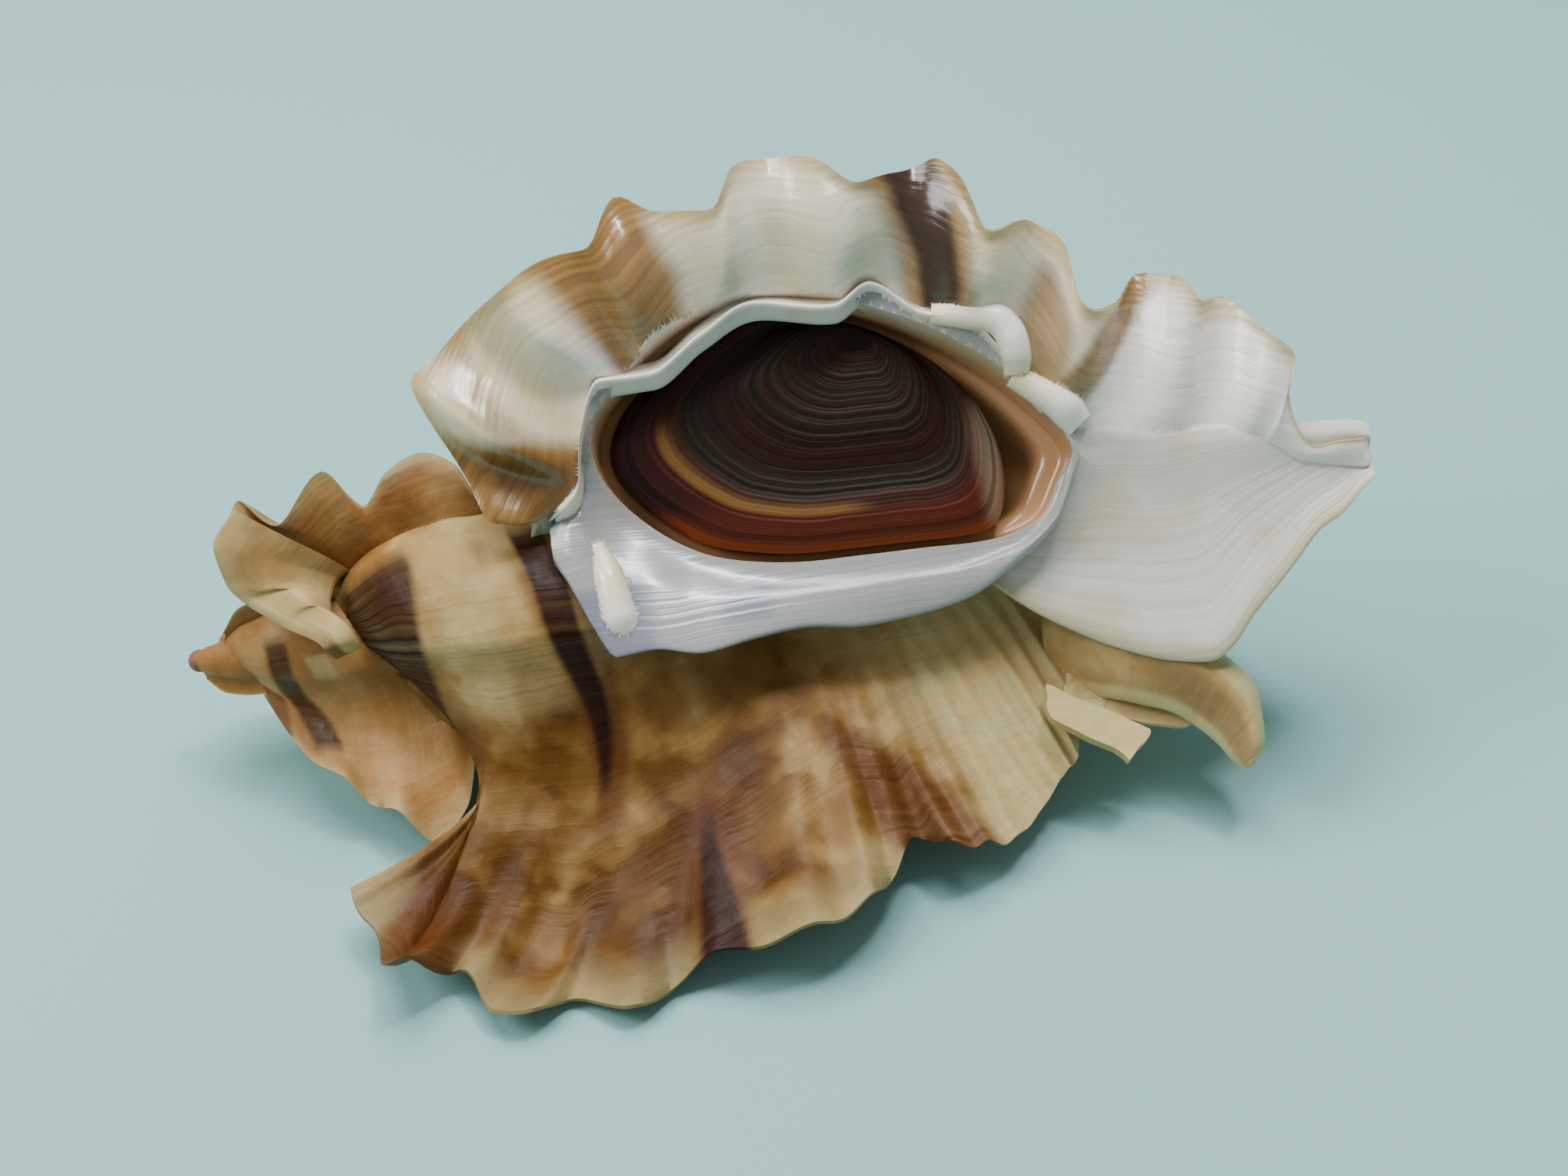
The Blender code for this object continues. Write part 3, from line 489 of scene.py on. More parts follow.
def facing_point(height, offset, depth):
    """A place given by its offset and depth against the plane that the aperture faces."""
    angle = math.radians(APERTURE_FACING)
    front = depth * math.cos(angle) - offset * math.sin(angle)
    rise = depth * math.sin(angle) + offset * math.cos(angle)
    return np.stack(np.broadcast_arrays(height, -front, rise), -1)


def backward(azimuth):
    """The direction against growth, about the axis."""
    angle = np.radians(azimuth)
    return np.stack(np.broadcast_arrays(0.0, np.sin(angle), np.cos(angle)), -1)


def turns_back(azimuth):
    """How many turns ago a place on the spiral grew."""
    return (azimuth - LIP_AZIMUTH) / 360


def suture_height(turns):
    """Height of the suture, where a whorl starts."""
    return LIP_SUTURE * np.exp(-0.67 * turns - 0.22 * turns**2)


def whorl_length(turns):
    """Length of a whorl along the axis."""
    return WHORL_LENGTH * np.exp(-0.5 * turns)


def whorl_radius(turns):
    """Largest radius of a whorl."""
    return WHORL_RADIUS * np.exp(-0.76 * turns - 0.02 * turns**2)


def side_flatness(azimuth):
    """How much flatter the whorl is between two varices than a true spiral."""
    azimuth = np.asarray(azimuth, float)
    newest = np.array(VARIX_AZIMUTHS[:-1], float)
    i = np.clip(np.searchsorted(newest, azimuth, side="right") - 1, 0, len(newest) - 1)
    gap = np.array(VARIX_AZIMUTHS[1:], float) - newest
    past = np.clip((azimuth - newest[i]) / gap[i], 0, 1)
    return 1 - np.array(SIDE_FLATNESS)[i] * np.sin(math.pi * past) ** 2


def body_point(share, azimuth, canal_length, sink=1.0):
    """The whorl's outer surface between varices, or what lies a share of its radius under it."""
    turns = turns_back(azimuth)
    height = (
        suture_height(turns)
        + whorl_length(turns) * np.minimum(share / 0.5, 1)
        + canal_length * np.maximum(share - 0.5, 0) / 0.5
    )
    girth = smooth_curve(SECTION, share)[:, 0]
    radius = whorl_radius(turns) * side_flatness(azimuth) * girth * sink
    return point(height, radius, azimuth)


def hooked_sheet(base, edge, hook, back, count):
    """Rows from base to edge along a sheet that bends back near its edge, and their rear normals."""
    steps = 24
    along = [np.zeros(len(base))]
    behind = [np.zeros(len(base))]
    bends = [np.zeros(len(base))]
    for step in range(steps):
        bends.append(np.radians(hook) * HOOK_STRENGTH * max((step + 0.5) / steps - 0.5, 0) / 0.5)
        along.append(along[-1] + np.cos(bends[-1]) / steps)
        behind.append(behind[-1] + np.sin(bends[-1]) / steps)
    along = np.array(along) / np.max(along, axis=0)
    reach = edge - base
    length = np.linalg.norm(reach, axis=-1)[:, None]
    outward = reach / length
    rows, normals = [], []
    for i in range(count + 1):
        at = round(i / count * steps)
        rows.append(base + reach * along[at][:, None] + back * length * behind[at][:, None])
        bend = bends[at][:, None]
        normals.append(back * np.cos(bend) - outward * np.sin(bend))
    return rows, normals


def columns_of(nodes, per_gap):
    """Shares at every node of an edge, with more between them."""
    shares = np.array([node[0] for node in nodes])
    spread = [np.linspace(a, b, per_gap, endpoint=False) for a, b in zip(shares, shares[1:])]
    return np.append(np.concatenate(spread), shares[-1])


def spire_edge(index, pattern_index, pattern):
    """A wing of the spire: an older copy of a pattern, shrunk about the suture."""
    older = turns_back(VARIX_AZIMUTHS[index])
    newer = turns_back(VARIX_AZIMUTHS[pattern_index])
    shrink = whorl_radius(older) / whorl_radius(newer)
    lift = whorl_length(older) / whorl_length(newer)
    return [
        (s, suture_height(older) + (a - suture_height(newer)) * lift, r * shrink, turn, hook)
        for s, a, r, turn, hook in pattern
    ]


# Shares at which each wing's folds run out to the points of its edge.
LIP_FOLDS = (0.06, 0.16, 0.24, 0.31, 0.385, 0.49, 0.60, 0.71, 0.79)
BACK_FOLDS = (0.03, 0.11, 0.21, 0.33, 0.45, 0.58, 0.72)
LOWER_FOLDS = (
    *(0.02, 0.09, 0.165, 0.235, 0.30, 0.37, 0.455, 0.54, 0.60),
    *(0.65, 0.69, 0.73, 0.765, 0.80, 0.84, 0.88, 0.92, 0.96),
)
SPIRE_FOLDS = (0.02, 0.105, 0.20, 0.32)
HIDDEN_FOLDS = (0.05, 0.16, 0.30, 0.44)

# What each point carries for the finishes: its growth in millimetres, its share of the section,
# how far up a wing it is, whether it is glazed, the marks on it, and whether it knows all this.
CHANNELS = (
    *("growth", "spiral", "reach", "glaze"),
    *("brown", "dark", "pale", "violet", "warm", "amber", "known"),
)

# How many points deep a seam is mended.
SEAM_STEPS = 6

# How much each wing keeps the scallops of its edge to its margin, in place of folds all the way.
LATE_SCALLOPS = (0.0, 0.5, 0.9, 0.5, 0.5, 0.5, 0.5, 0.5, 0.5)
SMOOTHING = 0.06


def fold_weight(folds, share):
    """1 on each fold of a wing and 0 midway between two."""
    folds = np.asarray(folds, float)
    share = np.asarray(share, float)
    i = np.clip(np.searchsorted(folds, share) - 1, 0, len(folds) - 2)
    gap = folds[i + 1] - folds[i]
    phase = np.clip((share - folds[i]) / gap, -0.5, 1.5)
    return 0.5 + 0.5 * np.cos(2 * math.pi * phase)


def soft_box(value, low, high, soft):
    """1 between low and high, fading to 0 over soft outside them."""
    value = np.asarray(value, float)
    rise = np.clip((value - low) / soft + 1, 0, 1)
    fall = np.clip((high - value) / soft + 1, 0, 1)
    both = np.minimum(rise, fall)
    return both * both * (3 - 2 * both)


class Patch:
    """A grid of points in the shell's frame, with the values that its points carry."""

    def __init__(self, name, points, share=0.0, growth=0.0, reach=0.0, glaze=0.0):
        self.name = name
        self.points = np.asarray(points, float)
        shape = self.points.shape[:2]
        self.values = {channel: np.zeros(shape) for channel in CHANNELS}
        self.values["spiral"] += share
        self.values["growth"] += growth
        self.values["reach"] += reach
        self.values["glaze"] += glaze
        self.values["known"] += 1


def mesh_from(name, verts, faces, values):
    """An object from points and faces, turned outward, carrying the points' values."""
    data = bpy.data.meshes.new(name)
    data.from_pydata(verts.tolist(), [], faces)
    for channel in CHANNELS:
        layer = data.attributes.new(channel, "FLOAT", "POINT")
        layer.data.foreach_set("value", np.asarray(values[channel], np.float32))
    mesh = bmesh.new()
    mesh.from_mesh(data)
    bmesh.ops.triangulate(mesh, faces=mesh.faces)
    bmesh.ops.recalc_face_normals(mesh, faces=mesh.faces)
    if mesh.calc_volume(signed=True) < 0:
        bmesh.ops.reverse_faces(mesh, faces=mesh.faces)
    mesh.to_mesh(data)
    mesh.free()
    corners = np.empty(len(data.polygons) * 3, np.int32)
    data.polygons.foreach_get("vertices", corners)
    glazed = np.asarray(values["glaze"])[corners].reshape(-1, 3).mean(axis=1) > 0.5
    data.materials.append(None)
    data.materials.append(None)
    data.polygons.foreach_set("material_index", glazed.astype(np.int32))
    made = bpy.data.objects.new(name, data)
    bpy.context.scene.collection.objects.link(made)
    return made


def mend_values(data):
    """Give the points of a new seam, which carry nothing yet, the mean of their neighbours."""
    edges = np.empty(len(data.edges) * 2, np.int32)
    data.edges.foreach_get("vertices", edges)
    ends = np.concatenate([edges.reshape(-1, 2), edges.reshape(-1, 2)[:, ::-1]])
    values = np.empty((len(CHANNELS), len(data.vertices)), np.float32)
    for row, channel in zip(values, CHANNELS):
        data.attributes[channel].data.foreach_get("value", row)
    known = values[-1] > 0.5
    for _ in range(SEAM_STEPS):
        reached = ends[known[ends[:, 0]] & ~known[ends[:, 1]]]
        if not len(reached):
            break
        count = np.bincount(reached[:, 1], minlength=len(known))
        fresh = count > 0
        for row in values:
            summed = np.bincount(reached[:, 1], weights=row[reached[:, 0]], minlength=len(known))
            row[fresh] = summed[fresh] / count[fresh]
        known |= fresh
    for row, channel in zip(values, CHANNELS):
        data.attributes[channel].data.foreach_set("value", np.ascontiguousarray(row))


def grid_faces(rows, columns, closed=False):
    """Faces of a grid whose points run along its rows; closed joins each row's ends."""
    faces = []
    for i in range(rows - 1):
        for j in range(columns if closed else columns - 1):
            k = (j + 1) % columns
            faces.append((i * columns + j, (i + 1) * columns + j, (i + 1) * columns + k, i * columns + k))
    return faces


def close_wedge(patch, core, shoulder, sheet_count, low):
    """A closed solid from rows that turn about the axis, with walls at both ends to its core.

    Past its foot a wing is thin, so its own two sides are joined there. The row at the shoulder
    is the last before the wing leaves the body.
    """
    rows, columns = patch.points.shape[:2]
    verts = np.concatenate([patch.points.reshape(-1, 3), core])
    start = rows * columns
    faces = grid_faces(rows, columns)
    last = (rows - 1) * columns
    loop = list(range(shoulder + 1)) + list(range(rows - 1 - low, rows))
    for i, k in zip(loop, loop[1:]):
        faces.append((start, k * columns, i * columns))
        faces.append((start + columns - 1, (i + 1) * columns - 1, (k + 1) * columns - 1))
    for step in range(sheet_count - low):
        i, k = shoulder + step, rows - 1 - low - step
        faces.append((i * columns, k * columns, (k - 1) * columns, (i + 1) * columns))
        faces.append(tuple((j + 1) * columns - 1 for j in (i, i + 1, k - 1, k)))
    for j in range(columns - 1):
        faces.append((start + j, j, j + 1, start + j + 1))
        faces.append((start + j + 1, last + j + 1, last + j, start + j))
    values = {}
    for channel, grid in patch.values.items():
        values[channel] = np.concatenate([grid.reshape(-1), grid[-1]])
    return mesh_from(patch.name, verts, faces, values)


def close_rings(patch):
    """A closed solid through rings, with flat ends."""
    rows, columns = patch.points.shape[:2]
    faces = grid_faces(rows, columns, closed=True)
    faces.append(tuple(range(columns)))
    faces.append(tuple(reversed(range((rows - 1) * columns, rows * columns))))
    values = {channel: grid.reshape(-1) for channel, grid in patch.values.items()}
    return mesh_from(patch.name, patch.points.reshape(-1, 3), faces, values)


def rounded_rings(outlines, count):
    """Rings resampled on smooth closed curves through their own points."""
    outlines = np.asarray(outlines, float)
    points = outlines.shape[1]
    at = np.arange(count) / count * points
    i = at.astype(int)
    s = (at - i)[None, :, None]
    a, b, c, d = (outlines[:, (i + k) % points] for k in (-1, 0, 1, 2))
    return 0.5 * (2 * b + (c - a) * s + (2 * a - 5 * b + 4 * c - d) * s**2 + (3 * b - a - 3 * c + d) * s**3)


def smoothed(line, share):
    """A line without its scallops."""
    nearness = np.exp(-0.5 * ((share[:, None] - share[None, :]) / SMOOTHING) ** 2)
    return (nearness @ line) / nearness.sum(axis=1, keepdims=True)


def wing_segment(index, nodes, canal_length, fillet_angle, folds, sizes, counts, bow=0.0):
    """The growth between two varices, with the newer one's folded wing at its end.

    The sizes are the height of its folds, the swelling between them and the height of the cords
    they leave on the body. The counts are points between two nodes, rows of the body, of its
    fillet and of the wing.
    """
    newest = VARIX_AZIMUTHS[index]
    oldest = VARIX_AZIMUTHS[index + 1] + SEGMENT_OVERLAP
    ruffle, swell, cord = sizes
    per_gap, body_count, fillet_count, sheet_count = counts
    share = columns_of(nodes, per_gap)
    edge_at = smooth_curve(nodes, share)
    fold = fold_weight(folds, share)[:, None]
    if index == 0:
        rim = smooth_curve(LIP_RIM, share)
        base = facing_point(rim[:, 0], rim[:, 1], rim[:, 2])
        edge = facing_point(edge_at[:, 0], edge_at[:, 1], edge_at[:, 2])
        back = backward(newest)
    else:
        base = body_point(share, newest, canal_length, BURIED)
        edge = point(edge_at[:, 0], edge_at[:, 1], newest + edge_at[:, 2])
        back = backward(newest + 0.5 * edge_at[:, 2])
    sheet, normals = hooked_sheet(base, edge, edge_at[:, 3], back, sheet_count)
    length = np.linalg.norm(edge - base, axis=-1)[:, None]
    calm = np.clip(length / 6.0, 0, 1)
    edge_calm = np.clip(0.3 + share[:, None] / 0.25, 0, 1) if index == 2 else 1.0
    reach_out = edge - smoothed(edge, share)
    for i, row in enumerate(sheet):
        s = i / sheet_count
        row += LATE_SCALLOPS[index] * (s**4 - s) * reach_out
        row[:, 0] += bow * math.sin(math.pi * s) * np.clip(1 - share / BOW_REACH, 0, 1)
        row += normals[i] * ruffle * calm * edge_calm * s**1.2 * (2 * fold - 1)
    girth = smooth_curve(SECTION, share)[:, :1]
    ending = np.clip((share[-1] - share[:, None]) / END_TAPER, 0.15, 1)
    scale = whorl_radius(turns_back(newest)) / WHORL_RADIUS * np.minimum(girth / 0.4, ending)

    rows, growth, reach, glaze = [], [], [], []
    turn_length = 2 * math.pi * 0.8 * whorl_radius(turns_back(newest))
    start_growth = turns_back(newest) * turn_length

    def add(row, lines, out, gloss):
        rows.append(row)
        growth.append(np.broadcast_to(lines, share.shape))
        reach.append(np.full(share.shape, float(out)))
        glaze.append(np.full(share.shape, float(gloss)))

    turns = [(oldest, BURIED)]
    for at in np.linspace(VARIX_AZIMUTHS[index + 1] - 4, newest + fillet_angle, body_count):
        turns.append((at, 1.0))
    for at, sink in turns:
        row = body_point(share, at, canal_length, sink)
        middle = row * (1, 0, 0)
        outward = (row - middle) / np.linalg.norm(row - middle, axis=-1)[:, None]
        near = 0.45 + 0.55 * soft_box(at, newest, newest + 40, 60)
        row = row + outward * cord * near * (fold - 0.5) * np.minimum(girth, 1)
        add(row, turns_back(at) * turn_length - start_growth, 0, 0)
    last_body = rows[-1]
    low = max(1, round(SHOULDER_SHARE * sheet_count))
    foot = sheet[0] + back * FOOT_THICKNESS * scale
    shoulder = sheet[low] + normals[low] * SHOULDER_THICKNESS * scale
    fillet_growth = growth[-1][0]
    for i in range(1, fillet_count + 1):
        s = i / fillet_count
        row = last_body * (1 - s) ** 2 + foot * 2 * s * (1 - s) + shoulder * s**2
        add(row, fillet_growth * (1 - s) - SHOULDER_SHARE * length[:, 0] * s, SHOULDER_SHARE * s, 0)
    for i in range(low + 1, sheet_count + 1):
        s = i / sheet_count
        thick = WING_THICKNESS * (1 - s) ** 0.8 + EDGE_THICKNESS
        add(sheet[i] + normals[i] * thick * scale, -s * length[:, 0], s, 0)
    for i in reversed(range(sheet_count + 1)):
        s = i / sheet_count
        bulge = swell * calm * math.sin(math.pi * min(s * 1.1, 1)) * (1 - fold) * scale
        add(sheet[i] - normals[i] * bulge, -s * length[:, 0] - FACE_GROWTH, s, 1)
    middle = (newest + oldest) / 2
    heights = body_point(share, middle, canal_length)[:, 0]
    core = point(heights, -0.05 * whorl_radius(turns_back(newest)), middle)
    carries = (np.array(values) for values in (growth, reach, glaze))
    patch = Patch(f"segment_{index}", np.array(rows), share, *carries)
    paint(patch, index)
    return close_wedge(patch, core, body_count + fillet_count, sheet_count, low)


# Bands of colour on the outer surface run with the growth. Each is its segment, the value it
# raises, its strength, its softness across in shares, and rows of growth in millimetres back
# from the varix, lowest share and highest share.
BANDS = (
    (
        *(2, "dark", 0.95, 0.020),
        ((17, 0.02, 0.13), (8, -0.05, 0.085), (0, -0.05, 0.05), (-5, 0.0, 0.045)),
    ),
    (
        *(2, "dark", 1.00, 0.012),
        ((17, 0.31, 0.352), (14, 0.31, 0.352), (7, 0.290, 0.320), (1, 0.298, 0.314), (-4, 0.306, 0.308)),
    ),
    (2, "brown", 0.65, 0.024, ((14, 0.30, 0.36), (0, 0.290, 0.325), (-8, 0.315, 0.325))),
    (
        *(2, "dark", 1.00, 0.010),
        ((-13, 0.438, 0.444), (-18, 0.442, 0.462), (-24, 0.446, 0.482), (-32, 0.450, 0.490)),
    ),
    (2, "brown", 0.75, 0.020, ((-10, 0.434, 0.446), (-18, 0.438, 0.466), (-30, 0.446, 0.495))),
    (2, "brown", 0.90, 0.030, ((-12, 0.60, 0.64), (-16, 0.63, 0.69), (-24, 0.66, 0.73))),
    (2, "pale", 0.85, 0.060, ((2, 0.82, 1.20), (-8, 0.76, 1.20), (-28, 0.80, 1.20))),
    (2, "pale", 0.30, 0.060, ((20, 0.16, 0.27), (4, 0.16, 0.25))),
    (
        *(2, "amber", 0.95, 0.080),
        ((1, 0.10, 0.26), (-4, 0.06, 0.34), (-8, 0.02, 0.50), (-26, 0.12, 0.56)),
    ),
    # Partly painted shade: more amber on the lower wing, which darkens it for the shade it lies in.
    (2, "amber", 0.70, 0.080, ((-12, 0.20, 0.62), (-30, 0.05, 0.62))),
    (2, "amber", 0.55, 0.060, ((-10, 0.60, 0.76), (-30, 0.62, 0.74))),
    (2, "brown", 0.85, 0.030, ((-14, 0.10, 0.15), (-24, 0.12, 0.22))),
    (2, "amber", 0.30, 0.080, ((2, 0.40, 0.62), (-12, 0.46, 0.66))),
    (2, "warm", 0.25, 0.100, ((6, 0.66, 0.90), (-9, 0.70, 0.90))),
    # Painted light: a paler band on the body just under the callus, which lightens what the callus's shadow
    # darkens.
    (2, "pale", 0.40, 0.060, ((4, 0.60, 0.84), (-12, 0.72, 0.84))),
    # Painted shade: amber that darkens part of the spire's wing segment, which lies in shade.
    (3, "amber", 0.55, 0.050, ((2, 0.17, 0.34), (-12, 0.17, 0.34))),
    (5, "dark", 0.85, 0.020, ((6, 0.110, 0.150), (1, 0.070, 0.115), (-4, 0.120, 0.165))),
    (5, "brown", 0.70, 0.020, ((0, 0.01, 0.05), (-4, 0.02, 0.05))),
    (5, "pale", 0.60, 0.016, ((5, 0.20, 0.24), (3, 0.20, 0.24))),
    (3, "dark", 0.70, 0.030, ((30, 0.24, 0.32), (4, 0.24, 0.32))),
    (3, "brown", 0.60, 0.030, ((40, 0.05, 0.12), (6, 0.02, 0.10))),
    (1, "dark", 0.85, 0.020, ((60, 0.13, 0.17), (-30, 0.17, 0.22))),
    (1, "brown", 0.70, 0.030, ((40, 0.36, 0.40), (-30, 0.38, 0.44))),
    (1, "brown", 0.60, 0.030, ((20, 0.60, 0.64), (-30, 0.60, 0.68))),
    (1, "amber", 0.60, 0.200, ((60, 0.0, 0.6), (0, 0.0, 0.6))),
    (0, "dark", 0.85, 0.020, ((70, 0.24, 0.27), (-24, 0.24, 0.30))),
    (0, "dark", 0.85, 0.016, ((70, 0.46, 0.48), (-24, 0.47, 0.51))),
    (0, "brown", 0.60, 0.030, ((70, 0.66, 0.69), (-24, 0.68, 0.73))),
    (0, "amber", 0.50, 0.200, ((70, 0.0, 0.6), (0, 0.0, 0.6))),
)
# Markings of the lip's face: the value raised, its strength, its softness across, and rows of
# reach out to the edge, lowest share and highest share.
LIP_BANDS = (
    (
        *("brown", 0.95, 0.020),
        ((-0.2, 0.235, 0.285), (0.5, 0.235, 0.295), (0.9, 0.232, 0.285), (1.2, 0.22, 0.30)),
    ),
    (
        *("brown", 1.00, 0.024),
        ((-0.3, 0.05, 0.125), (0.35, 0.025, 0.105), (0.75, 0.02, 0.07), (1.2, 0.02, 0.06)),
    ),
    ("dark", 0.45, 0.020, ((-0.3, 0.06, 0.11), (0.30, 0.04, 0.09), (0.6, 0.05, 0.07))),
    ("brown", 0.55, 0.014, ((0.3, 0.10, 0.115), (0.7, 0.125, 0.135), (1.0, 0.145, 0.16))),
    (
        *("dark", 0.92, 0.012),
        ((0.05, 0.508, 0.530), (0.3, 0.500, 0.525), (0.7, 0.482, 0.512), (1.0, 0.472, 0.500)),
    ),
    ("brown", 0.85, 0.022, ((0.05, 0.495, 0.540), (0.6, 0.480, 0.525), (1.0, 0.465, 0.515))),
    ("brown", 0.80, 0.022, ((-0.2, 0.595, 0.632), (0.70, 0.605, 0.632))),
    ("brown", 0.90, 0.018, ((0.2, 0.640, 0.660), (0.7, 0.668, 0.700), (1.1, 0.700, 0.745))),
    ("amber", 0.45, 0.040, ((0.1, 0.40, 0.46), (1.2, 0.40, 0.46))),
    ("amber", 0.60, 0.030, ((0.1, 0.31, 0.34), (1.2, 0.31, 0.34))),
    ("amber", 0.55, 0.030, ((0.0, 0.54, 0.66), (1.2, 0.53, 0.66))),
    ("amber", 0.60, 0.060, ((-0.2, 0.00, 0.14), (1.2, 0.00, 0.13))),
)


def band_mark(rows, softness, along, share):
    """How much of a band each point has; along and share are its places on the surface."""
    rows = np.array(sorted(rows), float)
    low = np.interp(along, rows[:, 0], rows[:, 1])
    high = np.interp(along, rows[:, 0], rows[:, 2])
    rise = np.clip((share - low) / softness + 1, 0, 1)
    fall = np.clip((high - share) / softness + 1, 0, 1)
    both = np.minimum(rise, fall)
    ends = soft_box(along, rows[0, 0], rows[-1, 0], 0.16 * (rows[-1, 0] - rows[0, 0]))
    return both * both * (3 - 2 * both) * ends


def paint(patch, index):
    """Where a segment is amber, brown, near black or pale."""
    share, growth = patch.values["spiral"], patch.values["growth"]
    reach, glaze = patch.values["reach"], patch.values["glaze"]
    along = np.where(glaze > 0.5, growth + FACE_GROWTH, growth)
    for segment, channel, strength, softness, rows in BANDS:
        if segment == index:
            mark = strength * band_mark(rows, softness, along, share)
            if index == 0:
                mark = mark * (1 - glaze)
            patch.values[channel] = np.maximum(patch.values[channel], mark)
    if index >= 5:
        patch.values["warm"] += 0.6
    if index == 0:
        for channel, strength, softness, rows in LIP_BANDS:
            mark = strength * band_mark(rows, softness, reach, share) * glaze
            patch.values[channel] = np.maximum(patch.values[channel], mark)
    else:
        patch.values["glaze"] = glaze * 0.0
        if index in (3, 4):
            patch.values["warm"] = np.maximum(patch.values["warm"], glaze * 0.5)


def spire_frill():
    """The cup of the spire's last wing, where it wraps round the suture."""
    count, steps = 60, 24
    azimuths = np.linspace(FRILL[0][0], FRILL[-1][0], count)
    columns = smooth_curve(FRILL, azimuths)
    shares = np.linspace(0, 1, steps)
    middle = []
    for azimuth, (edge_a, edge_r, foot_a, foot_r) in zip(azimuths, columns):
        heights = foot_a + (edge_a - foot_a) * shares
        middle.append(point(heights, foot_r + (edge_r - foot_r) * shares, azimuth))
    middle = np.array(middle)
    across = np.gradient(middle, axis=0)
    along = np.gradient(middle, axis=1)
    normal = np.cross(across, along)
    normal /= np.linalg.norm(normal, axis=-1)[..., None]
    middle += normal * 1.6 * np.sin(math.pi * shares)[None, :, None]
    thick = FRILL_THICKNESS * (0.6 - 0.3 * shares)[None, :, None]
    front = middle + normal * thick
    rear = middle - normal * thick
    rings = np.concatenate([front, rear[:, ::-1]], axis=1)
    patch = Patch("spire_frill", rings)
    out = np.concatenate([shares, shares[::-1]])
    patch.values["reach"] += out
    patch.values["growth"] += out * 8.0
    patch.values["pale"][:, :steps] = 0.20
    patch.values["warm"][:, steps:] = 0.5
    older_end = soft_box(azimuths, FRILL[0][0], FRILL[0][0] + 5, 20)[:, None]
    patch.values["brown"] += 0.8 * soft_box(out, 0.95, 1.1, 0.08) * older_end
    return close_rings(patch)


def callus_block():
    """The white callus and the wall under it, from the lip's rim to its own free edge."""
    stations = np.linspace(CALLUS[0][0], CALLUS[-1][0], 104)
    rim_nodes = sorted((a, q, d) for _, a, q, d in LIP_RIM[:14])
    outlines = []
    for height, edge in zip(stations, smooth_curve(CALLUS, stations)):
        free_q, free_d, inner_q, inner_d = edge
        rim_q, rim_d = smooth_curve(rim_nodes, [height])[0]
        inner_q = min(inner_q, rim_q - 1.0)
        middle = 0.5 * (free_q + inner_q)
        outlines.append(
            (
                (free_q, free_d),
                (free_q + 0.5, free_d + 0.5),
                (middle, 0.5 * (free_d + inner_d) + 0.6),
                (inner_q, inner_d),
                (0.5 * (inner_q + rim_q), 0.5 * (inner_d + rim_d) - 0.6),
                (rim_q - 0.5, rim_d + 0.3),
                (rim_q + 0.5, rim_d - 2.0),
                (0.7 * rim_q, 3.0),
                (2.0, 1.0),
                (0.5 * middle, 3.5),
                (free_q + 1.2, free_d - 1.6),
                (free_q + 0.2, free_d - 0.7),
            )
        )
    flat = rounded_rings(np.array(outlines), 120)
    rings = np.array([facing_point(h, ring[:, 0], ring[:, 1]) for h, ring in zip(stations, flat)])
    patch = Patch("callus", rings, glaze=1.0)
    patch.values["growth"] += flat[:, :, 0] + 100
    # Violet shows through at the top of the callus, and in a spot half way down.
    offset = flat[:, :, 0]
    patch.values["violet"] = np.maximum(
        soft_box(stations, 34.5, 38.5, 2.0)[:, None] * soft_box(offset, -5.5, -1.0, 1.5) * 0.9,
        soft_box(stations, 46, 48, 2.0)[:, None] * soft_box(offset, -4.0, -2.0, 1.0) * 0.8,
    )
    # Painted shade: the whole callus is greyed, as it lies in shade under the wing.
    patch.values["pale"] += 0.85
    return close_rings(patch)


def canal_plate():
    """The broad plate beside the canal's seam, with the closed canal under it."""
    stations = np.linspace(CANAL_PLATE[0][0], CANAL_PLATE[-1][0], 96)
    outlines = []
    for height, edge in zip(stations, smooth_curve(CANAL_PLATE, stations)):
        free_q, free_d, seam_q, seam_d = edge
        taper = 1 - 0.72 * (height - CANAL_PLATE[0][0]) / (CANAL_PLATE[-1][0] - CANAL_PLATE[0][0])
        width = seam_q - free_q
        taper *= min(1.0, 0.2 + (CANAL_PLATE[-1][0] - height) / 5.0)
        outlines.append(
            (
                (free_q, free_d),
                (free_q + 0.35 * width, 0.65 * free_d + 0.35 * seam_d - 0.5),
                (free_q + 0.70 * width, 0.30 * free_d + 0.70 * seam_d - 0.4),
                (seam_q, seam_d + 0.4),
                (seam_q + 1.2, seam_d - 1.5 * taper),
                (seam_q, seam_d - 7.0 * taper),
                (seam_q - 3.5 * taper, seam_d - 8.0 * taper),
                (free_q + 0.45 * width, 0.5 * (free_d + seam_d) - 3.2 * taper - 0.6),
                (free_q + 0.6, free_d - 1.1),
            )
        )
    flat = rounded_rings(np.array(outlines), 99)
    rings = np.array([facing_point(h, ring[:, 0], ring[:, 1]) for h, ring in zip(stations, flat)])
    patch = Patch("canal_plate", rings, glaze=1.0)
    edge = flat[:, :, 0].min(axis=1, keepdims=True)
    width = flat[:, :, 0].max(axis=1, keepdims=True) - edge
    patch.values["growth"] += 200 + 14 * (flat[:, :, 0] - edge) / width - 0.12 * stations[:, None]
    patch.values["amber"] = soft_box(flat[:, :, 0] - edge, -1.0, 0.6, 1.4) * 0.9
    patch.values["pale"] += 0.36
    return close_rings(patch)


